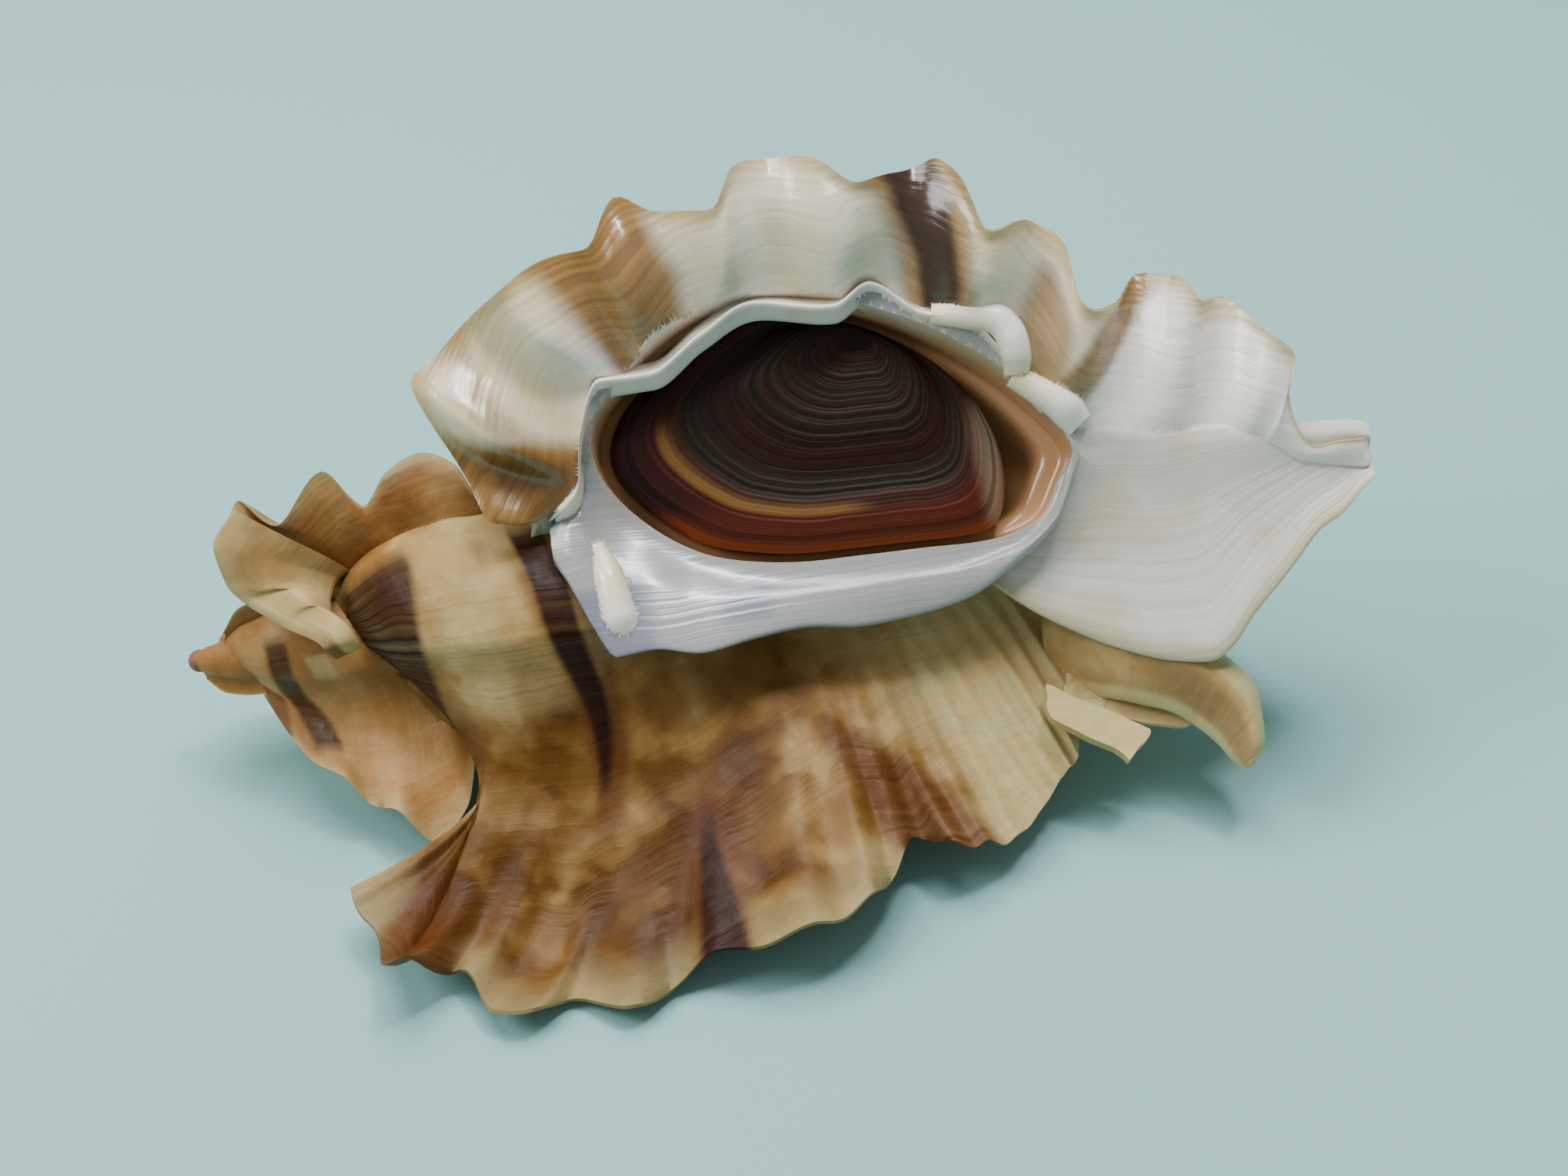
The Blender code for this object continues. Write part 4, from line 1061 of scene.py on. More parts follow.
def canal_horn():
    """The curved end of the second varix's canal."""
    nodes = [(i, *row) for i, row in enumerate(HORN)]
    along = np.linspace(0, len(HORN) - 1, 70)
    profile = ((0, 0), (0.2, 0.75), (0.5, 1.0), (0.8, 0.6), (1, 0), (0.75, -0.2), (0.25, -0.2))
    rings = []
    for up_a, up_r, low_a, low_r, azimuth, thick in smooth_curve(nodes, along):
        ring = []
        for share, lift in profile:
            height = up_a * (1 - share) + low_a * share
            radius = up_r * (1 - share) + low_r * share
            ring.append(point(height, radius, azimuth) + backward(azimuth) * thick * lift)
        rings.append(ring)
    rings = rounded_rings(np.array(rings), 42)
    patch = Patch("canal_horn", rings)
    width = np.arange(42) / 42
    patch.values["growth"] += (along * 3.0)[:, None] + 300
    patch.values["pale"] += np.maximum(
        0.9 * soft_box(width, -0.1, 0.22, 0.08),
        soft_box(width, 0.50, 0.58, 0.04),
    )
    patch.values["pale"] = np.maximum(patch.values["pale"], 0.4)
    patch.values["brown"] += 0.4 * soft_box(width, 0.34, 0.44, 0.08) * soft_box(along, 3.0, 6.0, 1.5)[:, None]
    return close_rings(patch)


def thin_plate(name, outline, azimuth, thickness):
    """A thin broken plate that lies in a plane through the axis."""
    outline = np.array(outline, float)
    ring = rounded_rings(outline[None], 60)[0] * 0.6
    ring += np.repeat(outline, 60 // len(outline), axis=0) * 0.4
    middle = point(ring[:, 0], ring[:, 1], azimuth)
    half = backward(azimuth) * thickness / 2
    patch = Patch(name, [middle + half, middle - half])
    patch.values["pale"] += 0.9
    patch.values["growth"] += ring[None, :, 1] * 0.5
    return close_rings(patch)


def bead(name, nodes, girth):
    """A rounded fold along a path on the aperture's face."""
    table = [(i, *row) for i, row in enumerate(nodes)]
    path = smooth_curve(table, np.linspace(0, len(nodes) - 1, 48))
    centres = facing_point(path[:, 0], path[:, 1], path[:, 2])
    across = facing_point(0.0, 0.0, 1.0)
    runs = np.gradient(centres, axis=0)
    rings = []
    turn = np.arange(BEAD_SIDES) * 2 * math.pi / BEAD_SIDES
    for i, centre in enumerate(centres):
        side = np.cross(runs[i], across)
        side = side / np.linalg.norm(side)
        ring = centre + path[i, 3] * girth * (np.outer(np.cos(turn), side) + np.outer(np.sin(turn), across))
        rings.append(ring)
    return close_rings(Patch(name, rings, glaze=1.0, growth=150.0))


def rim_ridge():
    """The thin erect margin of the lip inside its wing, scalloped like the folds."""
    shares = np.linspace(0.03, 0.63, 220)
    rim = smooth_curve(LIP_RIM, shares)
    weight = fold_weight(LIP_FOLDS, shares)
    lift = 1.3 - 0.5 * weight
    ends = soft_box(shares, 0.06, 0.60, 0.03)
    rings = []
    profile = ((-1.0, -1.5), (-0.55, 0.2), (-0.3, 1.0), (0.05, 1.05), (0.35, 0.2), (1.2, -1.5))
    for (a, q, d), up, end in zip(rim, lift, ends):
        heights = [rise if rise < 0 else rise * up * end for _, rise in profile]
        rings.append([(q + side - 0.15, d + rise) for (side, _), rise in zip(profile, heights)])
    flat = rounded_rings(np.array(rings), 24)
    grid = np.array([facing_point(a, ring[:, 0], ring[:, 1]) for (a, _, _), ring in zip(rim, flat)])
    return close_rings(Patch("rim_ridge", grid, glaze=1.0, growth=160.0))


def aperture_hollow():
    """What is hollowed out of the aperture: a bowl shaped like the hole the operculum closes."""
    outline = rounded_rings(np.array(APERTURE, float)[None], 120)[0]
    mid = np.array(APERTURE_MIDDLE)
    levels = np.linspace(0, len(HOLLOW_LEVELS) - 1, 26)
    table = [(i, *row) for i, row in enumerate(HOLLOW_LEVELS)]
    rings = []
    for depth, share in smooth_curve(table, levels):
        spread = mid + (outline - mid) * share
        rings.append(facing_point(spread[:, 0], spread[:, 1], depth))
    patch = Patch("aperture_hollow", rings, glaze=1.0, growth=120.0)
    deep = soft_box(levels, 2.0, 9.0, 1.6)[:, None]
    patch.values["warm"] += 0.25 * soft_box(levels, 1.8, 9.0, 0.8)[:, None] + 0.75 * deep
    # The callus's glaze goes on over the hollow's brim on its side, greyed there too by painted shade.
    callus_side = soft_box(outline[:, 1], -9.0, 3.0, 3.0)
    patch.values["pale"] += 0.85 * soft_box(levels, -1.0, 1.8, 1.0)[:, None] * callus_side
    return close_rings(patch)


def from_bmesh(name, mesh, place, violet=0.0, known=0.0):
    """An object from a bmesh, moved to its place, whose points all carry the same values."""
    mesh.transform(place)
    verts = np.array([v.co for v in mesh.verts])
    faces = [tuple(v.index for v in f.verts) for f in mesh.faces]
    mesh.free()
    values = {channel: np.zeros(len(verts)) for channel in CHANNELS}
    values["violet"] += violet
    values["known"] += known
    return mesh_from(name, verts, faces, values)


def operculum_plate(thickness):
    """The horny plate, in rings that grow from a nucleus near its margin."""
    outline = rounded_rings(np.array(OPERCULUM, float)[None], OPERCULUM_POINTS)[0]
    near = np.array(OPERCULUM_NUCLEUS)
    arm = outline - near
    length = np.linalg.norm(arm, axis=1)
    # Older rings have rounder corners than the margin.
    around = np.arange(OPERCULUM_POINTS)
    around = np.minimum(around, OPERCULUM_POINTS - around)
    nearness = np.exp(-0.5 * (around / OPERCULUM_ROUNDING) ** 2)
    rounder = np.array([np.roll(nearness, i) @ length for i in range(OPERCULUM_POINTS)])
    rounder = np.minimum(rounder / nearness.sum() / length, 1)
    shares = np.concatenate([[0.97, 1.0], np.linspace(1.0, 0.02, 70)])
    rises = smooth_curve(OPERCULUM_RISE, shares)[:, 0]
    rises[0], rises[1] = -thickness, -0.5 * thickness
    rings = []
    for share, rise in zip(shares, rises):
        keep = share**2
        spread = near + arm * (share * (keep + (1 - keep) * rounder))[:, None]
        rings.append(facing_point(spread[:, 0], spread[:, 1], OPERCULUM_DEPTH + rise))
    patch = Patch("operculum", rings)
    patch.values["growth"] += shares[:, None] * OPERCULUM_GROWTH
    places = near + arm * shares[:, None, None]
    heights, offsets = places[:, :, 0], places[:, :, 1]
    low_side = soft_box(offsets, -4, 3, 3.0)
    patch.values["warm"] += np.maximum(
        soft_box(shares, 0.975, 1.0, 0.02)[:, None] * low_side * 0.9,
        soft_box(shares, 0.86, 1.0, 0.04)[:, None] * low_side * 0.2,
    )
    arc = soft_box(shares, 0.80, 0.82, 0.025)[:, None] * soft_box(heights, 42, 55, 4.0)
    patch.values["amber"] += arc * soft_box(offsets, -4, 10, 3.0) * 0.8
    patch.values["pale"] += soft_box(heights, 68.0, 80, 1.6) * soft_box(offsets, -2, 9, 2.5)
    return close_rings(patch)


def nucleus():
    """The smooth first whorl at the tip of the spire."""
    mesh = bmesh.new()
    bmesh.ops.create_uvsphere(mesh, u_segments=32, v_segments=20, radius=NUCLEUS_RADIUS)
    return from_bmesh("nucleus", mesh, Matrix.Translation(NUCLEUS_PLACE), violet=0.8, known=1.0)


def ground_slab():
    """What is worn off the lowest points, so that the shell stands on small flat spots."""
    mesh = bmesh.new()
    bmesh.ops.create_cube(mesh, size=1.0)
    size = Matrix.Diagonal((GROUND_WIDTH, GROUND_WIDTH, GROUND_DEPTH, 1))
    return from_bmesh("ground", mesh, Matrix.Translation((0, 0, -GROUND_DEPTH / 2)) @ size)


def combine(kept, other, operation):
    """Fuse another solid with the kept one, or cut it away.

    The growth segments cross themselves a little inside the whorls, where an exact union fails.
    """
    boolean = kept.modifiers.new(other.name, "BOOLEAN")
    boolean.operation = operation
    boolean.object = other
    boolean.solver = "MANIFOLD"
    depsgraph = bpy.context.evaluated_depsgraph_get()
    data = bpy.data.meshes.new_from_object(kept.evaluated_get(depsgraph))
    kept.modifiers.clear()
    kept.data = data
    mend_values(data)
    bpy.data.objects.remove(other, do_unlink=True)


def lay(made):
    """Turn an object from the shell's frame to how it lies."""
    turn = Matrix.Rotation(math.radians(AXIS_TURN), 4, "Z")
    rise = Matrix.Rotation(math.radians(-AXIS_RISE), 4, "Y")
    made.data.transform(Matrix.Translation(APEX_PLACE) @ turn @ rise)


def srgb(code, alpha=1.0):
    """A colour given as sRGB hex, turned to the linear values that the shaders use."""
    values = [int(code[i : i + 2], 16) / 255 for i in (1, 3, 5)]
    linear = [v / 12.92 if v <= 0.04045 else ((v + 0.055) / 1.055) ** 2.4 for v in values]
    return (*linear, alpha)


def node(tree, kind, links=None, **settings):
    """Add a node: settings are its properties, and links set or join its inputs."""
    made = tree.nodes.new(kind)
    for name, value in settings.items():
        setattr(made, name, value)
    for name, value in (links or {}).items():
        socket = made.inputs[name]
        if isinstance(value, bpy.types.NodeSocket):
            tree.links.new(value, socket)
        else:
            socket.default_value = value
    return made


def ramp(tree, value, *stops):
    """A colour ramp over a value; stops are places and colours."""
    made = node(tree, "ShaderNodeValToRGB", {0: value})
    elements = made.color_ramp.elements
    while len(elements) < len(stops):
        elements.new(0.5)
    for element, (place, colour) in zip(elements, stops):
        element.position = place
        element.color = colour
    return made.outputs["Color"]


def mix(tree, factor, low, high, blend="MIX"):
    """Two colours mixed by a factor."""
    links = {0: factor, 6: low, 7: high}
    return node(tree, "ShaderNodeMix", links, data_type="RGBA", blend_type=blend).outputs[2]


def maths(tree, operation, *values):
    """The result of one step of arithmetic."""
    made = node(tree, "ShaderNodeMath", dict(enumerate(values)), operation=operation)
    return made.outputs[0]


def carried(tree, name):
    """A value that the mesh's points carry."""
    return node(tree, "ShaderNodeAttribute", attribute_name=name).outputs["Fac"]


def total(tree, *terms):
    """The weighted sum of some values; each term is a value and its weight."""
    result = maths(tree, "MULTIPLY", *terms[0])
    for value, weight in terms[1:]:
        result = maths(tree, "ADD", result, maths(tree, "MULTIPLY", value, weight))
    return result


def patches(tree, place, size, detail):
    """Soft patches of a size in millimetres."""
    links = {"Vector": place, "Scale": 1 / (size * MM), "Detail": detail}
    return node(tree, "ShaderNodeTexNoise", links).outputs["Fac"]


def line_noise(tree, value, per_mm, detail, wander):
    """Uneven lines across a carried value, in lines per millimetre, bent by another value."""
    along = maths(tree, "ADD", maths(tree, "MULTIPLY", value, per_mm), wander)
    links = {"W": along, "Scale": 1.0, "Detail": detail}
    return node(tree, "ShaderNodeTexNoise", links, noise_dimensions="1D").outputs["Fac"]


def fit_range(tree, value, low, high, to_low=0.0, to_high=1.0):
    """A value moved from one range to another, and held inside it."""
    links = {"Value": value, "From Min": low, "From Max": high, "To Min": to_low, "To Max": to_high}
    return node(tree, "ShaderNodeMapRange", links).outputs[0]


def raise_bump(tree, surface, height, strength, distance):
    """Fine relief from a value, with its depth in millimetres."""
    bump = node(tree, "ShaderNodeBump", {"Height": height, "Strength": strength, "Distance": distance * MM})
    tree.links.new(bump.outputs[0], surface.inputs["Normal"])


def set_inputs(surface, **settings):
    """Set a shader's own inputs; an underscore in a name stands for a space."""
    for name, value in settings.items():
        surface.inputs[name.replace("_", " ")].default_value = value


def new_material(name):
    """A material with an empty Principled shader."""
    material = bpy.data.materials.new(name)
    material.use_nodes = True
    tree = material.node_tree
    tree.nodes.clear()
    surface = node(tree, "ShaderNodeBsdfPrincipled")
    output = node(tree, "ShaderNodeOutputMaterial", {"Surface": surface.outputs[0]})
    output.location = (300, 0)
    return material, tree, surface


def outer_material(colours):
    """Outer calcite, as it grew: satin, waxy amber tan with soft clouds and dark spiral bands; some of its
    amber is painted shade and one pale band is painted light.
    """
    material, tree, surface = new_material("outer_calcite")
    place = node(tree, "ShaderNodeTexCoord").outputs["Object"]
    growth, spiral = carried(tree, "growth"), carried(tree, "spiral")
    cloud = patches(tree, place, MOTTLE_SIZE, 2.0)
    blotch = patches(tree, place, BLOTCH_SIZE, 2.0)
    fleck = patches(tree, place, FLECK_SIZE, 4.0)
    lines = line_noise(tree, growth, SHELL_LINES_PER_MM, 4.0, maths(tree, "MULTIPLY", cloud, 2.5))
    broad = line_noise(tree, growth, BROAD_LINES_PER_MM, 2.0, maths(tree, "MULTIPLY", cloud, 5.0))
    cords = line_noise(tree, spiral, CORDS, 3.0, maths(tree, "MULTIPLY", cloud, 3.0))
    mottle = total(tree, (cloud, 0.48), (broad, 0.12), (blotch, 0.40))
    base = ramp(tree, mottle, (0.38, colours.caramel), (0.49, colours.tan), (0.62, colours.cream))
    base = mix(tree, carried(tree, "warm"), base, colours.rust)
    patchy = fit_range(tree, mottle, 0.40, 0.60, 1.0, 0.68)
    amber = maths(tree, "MULTIPLY", maths(tree, "ADD", carried(tree, "amber"), 0.16), patchy)
    amber.node.use_clamp = True
    base = mix(tree, amber, base, ramp(tree, mottle, (0.40, colours.amber), (0.60, colours.honey)))
    # The newest growth at each wing's margin is paler.
    base = mix(tree, fit_range(tree, carried(tree, "reach"), 0.80, 1.0, 0.0, 0.40), base, colours.buff)
    pale = ramp(tree, broad, (0.35, colours.buff), (0.60, colours.cream))
    base = mix(tree, carried(tree, "pale"), base, pale)
    grooves = ramp(tree, cords, (0.40, srgb("#9A7A52")), (0.56, srgb("#FFFFFF")))
    base = mix(tree, 0.06, base, grooves, "MULTIPLY")
    seams = ramp(tree, lines, (0.36, srgb("#8C6A48")), (0.54, srgb("#FFFFFF")))
    base = mix(tree, 0.04, base, seams, "MULTIPLY")
    uneven = maths(tree, "ADD", maths(tree, "MULTIPLY", lines, 0.5), 0.70)
    base = mix(tree, maths(tree, "MULTIPLY", carried(tree, "brown"), uneven), base, colours.brown)
    dark = maths(tree, "MULTIPLY", carried(tree, "dark"), uneven)
    dark.node.use_clamp = True
    base = mix(tree, dark, base, colours.umber)
    base = mix(tree, maths(tree, "MULTIPLY", carried(tree, "violet"), 0.8), base, colours.plum)
    tree.links.new(base, surface.inputs["Base Color"])
    tree.links.new(fit_range(tree, fleck, 0.3, 0.7, 0.38, 0.54), surface.inputs["Roughness"])
    set_inputs(
        surface,
        Specular_IOR_Level=0.16,
        Subsurface_Weight=0.06,
        Subsurface_Scale=1.5 * MM,
        Subsurface_Radius=(1.0, 0.6, 0.2),
    )
    relief = total(tree, (lines, 0.25), (cords, 0.2), (fleck, 0.3), (cloud, 1.6))
    raise_bump(tree, surface, relief, 0.5, SHELL_GRAIN)
    return material


def lip_material(colours):
    """Aragonite of the lip, callus and canal, glazed by the animal: smooth, glossy, milky white, with painted
    shade greying the callus.
    """
    material, tree, surface = new_material("lip_aragonite")
    place = node(tree, "ShaderNodeTexCoord").outputs["Object"]
    cloud = patches(tree, place, CLOUD_SIZE, 3.0)
    wander = maths(tree, "MULTIPLY", cloud, 2.0)
    lines = line_noise(tree, carried(tree, "growth"), LIP_LINES_PER_MM, 4.0, wander)
    base = ramp(tree, cloud, (0.36, colours.ivory), (0.52, colours.white))
    seams = ramp(tree, lines, (0.32, srgb("#C9BBA2")), (0.52, srgb("#FFFFFF")))
    base = mix(tree, 0.22, base, seams, "MULTIPLY")
    base = mix(tree, carried(tree, "amber"), base, colours.butter)
    edge = ramp(tree, carried(tree, "reach"), (0.78, srgb("#FFFFFF")), (1.0, srgb("#D2B67A")))
    base = mix(tree, 0.8, base, edge, "MULTIPLY")
    base = mix(tree, carried(tree, "warm"), base, colours.flesh)
    # Painted shade: where the pale value is carried, the glaze is greyed, most on the callus and on the
    # hollow's brim beside it.
    base = mix(tree, carried(tree, "pale"), base, colours.painted_shade_grey)
    # Brown stains are streaked with ochre, and darkest in their middle.
    stripes = ramp(tree, lines, (0.36, colours.brown), (0.60, colours.ochre))
    stain = mix(tree, 0.45, colours.ochre, stripes)
    stain = mix(tree, fit_range(tree, carried(tree, "brown"), 0.2, 0.8), colours.brown, stain)
    base = mix(tree, carried(tree, "brown"), base, stain)
    base = mix(tree, carried(tree, "dark"), base, colours.umber)
    base = mix(tree, maths(tree, "MULTIPLY", carried(tree, "violet"), 0.8), base, colours.slate)
    tree.links.new(base, surface.inputs["Base Color"])
    set_inputs(
        surface,
        Roughness=0.24,
        Subsurface_Weight=0.15,
        Subsurface_Scale=2.0 * MM,
        Subsurface_Radius=(1.0, 0.8, 0.5),
        Coat_Weight=0.35,
        Coat_Roughness=0.12,
    )
    raise_bump(tree, surface, total(tree, (lines, 0.5), (cloud, 1.0)), 0.4, LIP_GRAIN)
    return material


def operculum_material(colours):
    """Dried horn: near black, with red-brown and olive growth rings and an amber margin."""
    material, tree, surface = new_material("operculum_horn")
    place = node(tree, "ShaderNodeTexCoord").outputs["Object"]
    ring = carried(tree, "growth")
    cloud = patches(tree, place, HORN_CLOUD_SIZE, 4.0)
    wander = maths(tree, "MULTIPLY", cloud, 0.9)
    lines = line_noise(tree, ring, HORN_LINES_PER_MM, 4.0, wander)
    broad = line_noise(tree, ring, HORN_BANDS_PER_MM, 2.0, wander)
    age = maths(tree, "DIVIDE", maths(tree, "ADD", ring, maths(tree, "MULTIPLY", broad, 3.0)), 17.5)
    base = ramp(
        tree,
        age,
        (0.10, colours.black),
        (0.45, colours.olive),
        (0.62, colours.black),
        (0.74, colours.olive),
        (0.86, colours.red),
        (0.97, colours.black),
    )
    base = mix(tree, 0.35, base, ramp(tree, broad, (0.35, colours.black), (0.62, colours.red)))
    seams = ramp(tree, lines, (0.38, srgb("#3A2A20")), (0.60, srgb("#FFFFFF")))
    base = mix(tree, 0.60, base, seams, "MULTIPLY")
    base = mix(tree, maths(tree, "MULTIPLY", carried(tree, "amber"), lines), base, colours.ochre)
    base = mix(tree, carried(tree, "warm"), base, colours.margin)
    base = mix(tree, maths(tree, "MULTIPLY", carried(tree, "pale"), lines), base, colours.grey)
    tree.links.new(base, surface.inputs["Base Color"])
    set_inputs(surface, Roughness=0.44, Specular_IOR_Level=0.16)
    raise_bump(tree, surface, lines, 0.5, HORN_GRAIN)
    return material


def relief_tree(name, materials):
    """Growth relief: uneven lines raised along the normal, and the finish of each side."""
    tree = bpy.data.node_groups.new(name, "GeometryNodeTree")
    sockets = tree.interface
    sockets.new_socket("Geometry", in_out="INPUT", socket_type="NodeSocketGeometry")
    for label, value in (("Lines per mm", 1.5), ("Line height", 0.00012), ("Wander", 2.0)):
        made = sockets.new_socket(label, in_out="INPUT", socket_type="NodeSocketFloat")
        made.default_value = value
    sockets.new_socket("Geometry", in_out="OUTPUT", socket_type="NodeSocketGeometry")
    given = node(tree, "NodeGroupInput")
    growth = node(tree, "GeometryNodeInputNamedAttribute", {"Name": "growth"}, data_type="FLOAT")
    place = node(tree, "GeometryNodeInputPosition").outputs[0]
    cloud = patches(tree, place, RELIEF_CLOUD_SIZE, 3.0)
    wander = maths(tree, "MULTIPLY", cloud, given.outputs["Wander"])
    lines = line_noise(tree, growth.outputs[0], given.outputs["Lines per mm"], 3.0, wander)
    height = maths(tree, "MULTIPLY", maths(tree, "SUBTRACT", lines, 0.5), given.outputs["Line height"])
    normal = node(tree, "GeometryNodeInputNormal")
    links = {0: normal.outputs[0], "Scale": height}
    lift = node(tree, "ShaderNodeVectorMath", links, operation="SCALE").outputs[0]
    links = {"Geometry": given.outputs["Geometry"], "Offset": lift}
    raised = node(tree, "GeometryNodeSetPosition", links)
    shape = node(tree, "GeometryNodeRealizeInstances", {"Geometry": raised.outputs[0]}).outputs[0]
    slot = node(tree, "GeometryNodeInputMaterialIndex").outputs[0]
    for index, material in enumerate(materials):
        links = {2: slot, 3: index}
        chosen = node(tree, "FunctionNodeCompare", links, data_type="INT", operation="EQUAL")
        links = {"Geometry": shape, "Selection": chosen.outputs[0], "Material": material}
        shape = node(tree, "GeometryNodeSetMaterial", links).outputs[0]
    node(tree, "NodeGroupOutput", {"Geometry": shape})
    return tree


def raise_relief(made, tree, settings):
    """Apply the growth relief to an object and leave a plain mesh."""
    modifier = made.modifiers.new("relief", "NODES")
    modifier.node_group = tree
    for item in tree.interface.items_tree:
        if item.in_out == "INPUT" and item.name in settings:
            modifier[item.identifier] = settings[item.name]
    depsgraph = bpy.context.evaluated_depsgraph_get()
    data = bpy.data.meshes.new_from_object(made.evaluated_get(depsgraph))
    made.modifiers.remove(modifier)
    made.data = data


def finish_piece(made, node_name):
    """Shade a piece smooth, keep its sharp corners, hang it under the body's empty and hide the imported
    solid it stands for.
    """
    made.data.shade_smooth()
    made.data.set_sharp_from_angle(angle=math.radians(SHARP_ANGLE))
    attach(made, BODY)
    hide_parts(node_name)


def colour(name, code, description):
    """A colour that the user may change."""
    return FloatVectorProperty(
        name=name, description=description, default=srgb(code), size=4, subtype="COLOR", min=0.0, max=1.0
    )


class ShellSettings(bpy.types.PropertyGroup):
    """Sizes and colours of the shell"""

    line_height: FloatProperty(
        name="Growth line height",
        description="How far the growth lines stand up",
        default=0.05 * MM,
        min=0.0,
        max=MM,
        unit="LENGTH",
        precision=5,
    )
    lines_per_mm: FloatProperty(
        name="Growth lines per millimetre",
        description="How close the growth lines are",
        default=1.5,
        min=0.1,
        max=5.0,
    )
    caramel: colour("Caramel", "#7C5224", "Darker clouds of the outer shell")
    tan: colour("Tan", "#98743E", "Main colour of the outer shell")
    cream: colour("Cream", "#BEA672", "Paler clouds of the outer shell")
    buff: colour("Buff", "#B8AE7C", "Margins and the palest growth")
    # Partly painted shade: honey and amber are the lower wing's own amber, made darker to stand for the shade
    # it lies in.
    honey: colour("Honey", "#654210", "Lighter part of the amber patches")
    amber: colour("Amber", "#462704", "Darker part of the amber patches")
    rust: colour("Rust", "#A4703C", "Warm tint of the spire")
    plum: colour("Plum", "#6E4650", "Tip of the spire")
    brown: colour("Brown", "#4E260A", "Soft bands and stains")
    umber: colour("Umber", "#240C05", "Dark spiral bands")
    ochre: colour("Ochre", "#8E682E", "Streaks in the lip's stains")
    white: colour("White", "#ECE8DE", "Glaze of the lip and the canal")
    ivory: colour("Ivory", "#DDD0AA", "Warmer clouds in the glaze")
    butter: colour("Butter", "#C8BC8C", "Yellow tint of the lip")
    flesh: colour("Flesh", "#BC8C60", "Wall inside the mouth")
    # Painted shade: the grey that the callus's glaze is darkened toward, because the callus lies in shade.
    painted_shade_grey: colour("Pearl", "#808488", "Thin, see-through glaze of the callus")
    slate: colour("Slate", "#686C84", "Violet patches of the callus")


class OperculumSettings(bpy.types.PropertyGroup):
    """Sizes and colours of the operculum"""

    thickness: FloatProperty(
        name="Thickness",
        description="Thickness of the plate at its margin",
        default=OPERCULUM_THICKNESS * MM,
        min=0.5 * MM,
        max=3.0 * MM,
        unit="LENGTH",
        precision=4,
    )
    rings_per_mm: FloatProperty(
        name="Rings per millimetre",
        description="How close the growth rings are",
        default=1.6,
        min=0.1,
        max=5.0,
    )
    ring_height: FloatProperty(
        name="Ring height",
        description="How far the growth rings stand up",
        default=0.14 * MM,
        min=0.0,
        max=MM,
        unit="LENGTH",
        precision=5,
    )
    black: colour("Black", "#120A08", "Oldest and newest horn")
    olive: colour("Olive", "#281E0C", "Rings between")
    red: colour("Red", "#3E0F08", "Red-brown rings")
    grey: colour("Grey", "#7C6C58", "Worn lower end")
    ochre: colour("Ochre", "#8E682E", "Arc of lighter rings")
    margin: colour("Margin", "#74300A", "Thin amber margin")


class StageSettings(bpy.types.PropertyGroup):
    """Sizes and colours of the stage"""

    floor_size: FloatProperty(
        name="Floor size", description="Width of the floor", default=3.0, min=1.0, unit="LENGTH"
    )
    lens: FloatProperty(
        name="Lens", description="Focal length of the camera in millimetres", default=44.643, min=10.0
    )
    light: FloatProperty(
        name="Light", description="Strength of the lamps against the usual", default=1.0, min=0.0
    )
    floor: colour("Floor", "#84B4B2", "Colour of the matte card")
    sky: colour("Sky", "#E4E6E2", "Colour of the light from all round")


class MUREX_OT_shell(bpy.types.Operator):
    """Make the shell: whorls, wings, spire, lip, callus and canal, fused into one piece"""

    bl_idname = "murex.shell"
    bl_label = "Make the shell"

    def execute(self, context):
        settings = context.scene.murex_shell
        hidden = spire_edge(4, 5, HIDDEN_WING)
        ribs = [spire_edge(index, 5, SPIRE_RIB) for index in (6, 7, 8)]
        fine, finer, finest = (0.3, 0.2, 0.3), (0.1, 0.1, 0.2), (0.1, 0.1, 0.1)
        pieces = [
            wing_segment(0, LIP_WING, 27.0, 34, LIP_FOLDS, (1.5, 1.4, 0.5), (7, 30, 10, 22)),
            wing_segment(1, BACK_WING, 24.0, 40, BACK_FOLDS, (1.1, 0.6, 0.4), (11, 30, 9, 17)),
            wing_segment(
                *(2, LOWER_WING, 22.0, 52, LOWER_FOLDS, (0.45, 0.2, 0.2), (11, 40, 16, 24)),
                bow=LOWER_WING_BOW,
            ),
            wing_segment(3, SPIRE_WING, 8.0, 26, SPIRE_FOLDS, (0.4, 0.3, 0.4), (9, 44, 8, 10)),
            wing_segment(4, hidden, 3.0, 26, HIDDEN_FOLDS, fine, (10, 40, 8, 10)),
            wing_segment(5, HIDDEN_WING, 3.0, 40, HIDDEN_FOLDS, fine, (10, 40, 8, 12)),
            wing_segment(6, ribs[0], 1.5, 26, HIDDEN_FOLDS, finer, (10, 36, 6, 6)),
            wing_segment(7, ribs[1], 1.0, 26, HIDDEN_FOLDS, finer, (8, 30, 5, 5)),
            wing_segment(8, ribs[2], 1.0, 26, HIDDEN_FOLDS, finest, (8, 24, 5, 5)),
            spire_frill(),
            nucleus(),
            callus_block(),
            canal_plate(),
            canal_horn(),
            thin_plate("canal_flap", CANAL_FLAP, -31, 0.8),
            thin_plate("canal_stub", CANAL_STUB, -28, 1.4),
        ]
        shell = pieces[0]
        shell.name = "murex_shell"
        for piece in pieces[1:]:
            combine(shell, piece, "UNION")
        combine(shell, aperture_hollow(), "DIFFERENCE")
        folds = (
            bead("tooth", TOOTH, 1.15),
            bead("last_lobe", LAST_LOBE, 1.2),
            bead("anal_fold", ANAL_FOLD, 1.4),
        )
        for detail in (rim_ridge(), *folds):
            combine(shell, detail, "UNION")
        lay(shell)
        combine(shell, ground_slab(), "DIFFERENCE")
        shell.data.transform(Matrix.Scale(MM, 4))
        tree = relief_tree("growth_relief", (outer_material(settings), lip_material(settings)))
        sizes = {"Lines per mm": settings.lines_per_mm, "Line height": settings.line_height}
        raise_relief(shell, tree, sizes)
        finish_piece(shell, "shell")
        return {"FINISHED"}


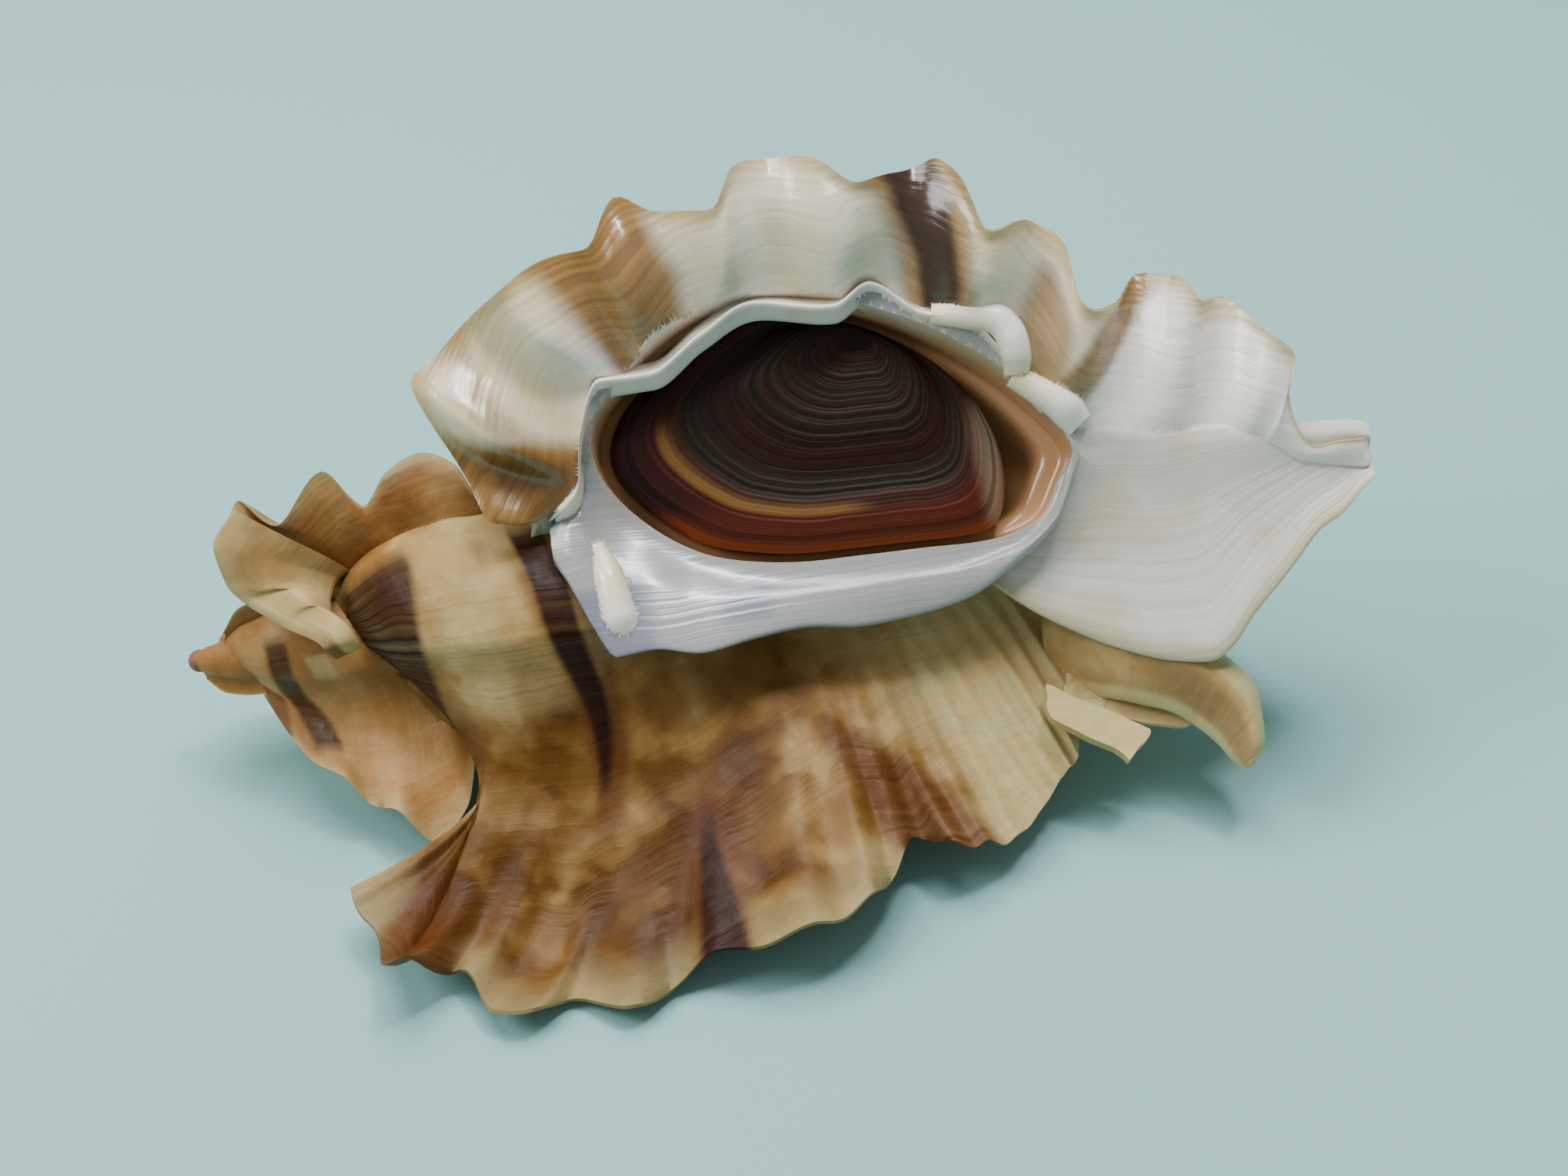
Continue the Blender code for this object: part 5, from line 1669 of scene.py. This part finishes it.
class MUREX_OT_operculum(bpy.types.Operator):
    """Make the horny plate that closes the shell's mouth"""

    bl_idname = "murex.operculum"
    bl_label = "Make the operculum"

    def execute(self, context):
        settings = context.scene.murex_operculum
        plate = operculum_plate(settings.thickness / MM)
        plate.name = "murex_operculum"
        lay(plate)
        plate.data.transform(Matrix.Scale(MM, 4))
        tree = relief_tree("ring_relief", (operculum_material(settings),))
        sizes = {"Lines per mm": settings.rings_per_mm, "Line height": settings.ring_height}
        raise_relief(plate, tree, sizes)
        finish_piece(plate, "operculum")
        return {"FINISHED"}


class MUREX_OT_stage(bpy.types.Operator):
    """Make the pale floor, the soft lights and the camera"""

    bl_idname = "murex.stage"
    bl_label = "Make the stage"

    def execute(self, context):
        settings = context.scene.murex_stage
        scene = context.scene
        bpy.ops.mesh.primitive_plane_add(size=settings.floor_size, location=(0, 0, -FLOOR_GAP * MM))
        floor = context.active_object
        floor.name = "stage_floor"
        material, tree, surface = new_material("matte_card")
        set_inputs(surface, Base_Color=settings.floor, Roughness=0.85)
        floor.data.materials.append(material)
        world = bpy.data.worlds.new("studio")
        world.use_nodes = True
        set_inputs(world.node_tree.nodes["Background"], Color=settings.sky, Strength=SKY_STRENGTH)
        scene.world = world
        for name, place, size, power in LAMPS:
            light = bpy.data.lights.new(name, "AREA")
            light.energy = power * settings.light
            light.size = size
            lamp = bpy.data.objects.new(name, light)
            lamp.location = place
            lamp.rotation_euler = (-Vector(place)).to_track_quat("-Z", "Y").to_euler()
            scene.collection.objects.link(lamp)
        camera = bpy.data.cameras.new("camera")
        camera.lens = settings.lens
        camera.sensor_width = 36.0
        camera.clip_start = 10 * MM
        eye = bpy.data.objects.new("camera", camera)
        eye.location = EYE_PLACE
        eye.rotation_euler = [math.radians(angle) for angle in EYE_TURN]
        scene.collection.objects.link(eye)
        scene.camera = eye
        return {"FINISHED"}


class MUREX_PT_panel(bpy.types.Panel):
    """The sizes and colours of each piece, and the buttons that make them"""

    bl_label = "Burnett's murex"
    bl_idname = "MUREX_PT_panel"
    bl_space_type = "VIEW_3D"
    bl_region_type = "UI"
    bl_category = "Murex"

    def draw(self, context):
        for group in (context.scene.murex_shell, context.scene.murex_operculum, context.scene.murex_stage):
            box = self.layout.box()
            for name in group.__annotations__:
                box.prop(group, name)
        for operator in (MUREX_OT_shell, MUREX_OT_operculum, MUREX_OT_stage):
            self.layout.operator(operator.bl_idname)


CLASSES = (
    ShellSettings,
    OperculumSettings,
    StageSettings,
    MUREX_OT_shell,
    MUREX_OT_operculum,
    MUREX_OT_stage,
    MUREX_PT_panel,
)


def register():
    """Add the classes and their settings."""
    for cls in CLASSES:
        bpy.utils.register_class(cls)
    bpy.types.Scene.murex_shell = PointerProperty(type=ShellSettings)
    bpy.types.Scene.murex_operculum = PointerProperty(type=OperculumSettings)
    bpy.types.Scene.murex_stage = PointerProperty(type=StageSettings)


def unregister():
    """Take the classes and their settings away."""
    del bpy.types.Scene.murex_stage
    del bpy.types.Scene.murex_operculum
    del bpy.types.Scene.murex_shell
    for cls in reversed(CLASSES):
        bpy.utils.unregister_class(cls)


def main():
    """Make everything."""
    register()
    bpy.ops.murex.stage()
    bpy.ops.murex.shell()
    bpy.ops.murex.operculum()


if __name__ == "__main__":
    main()
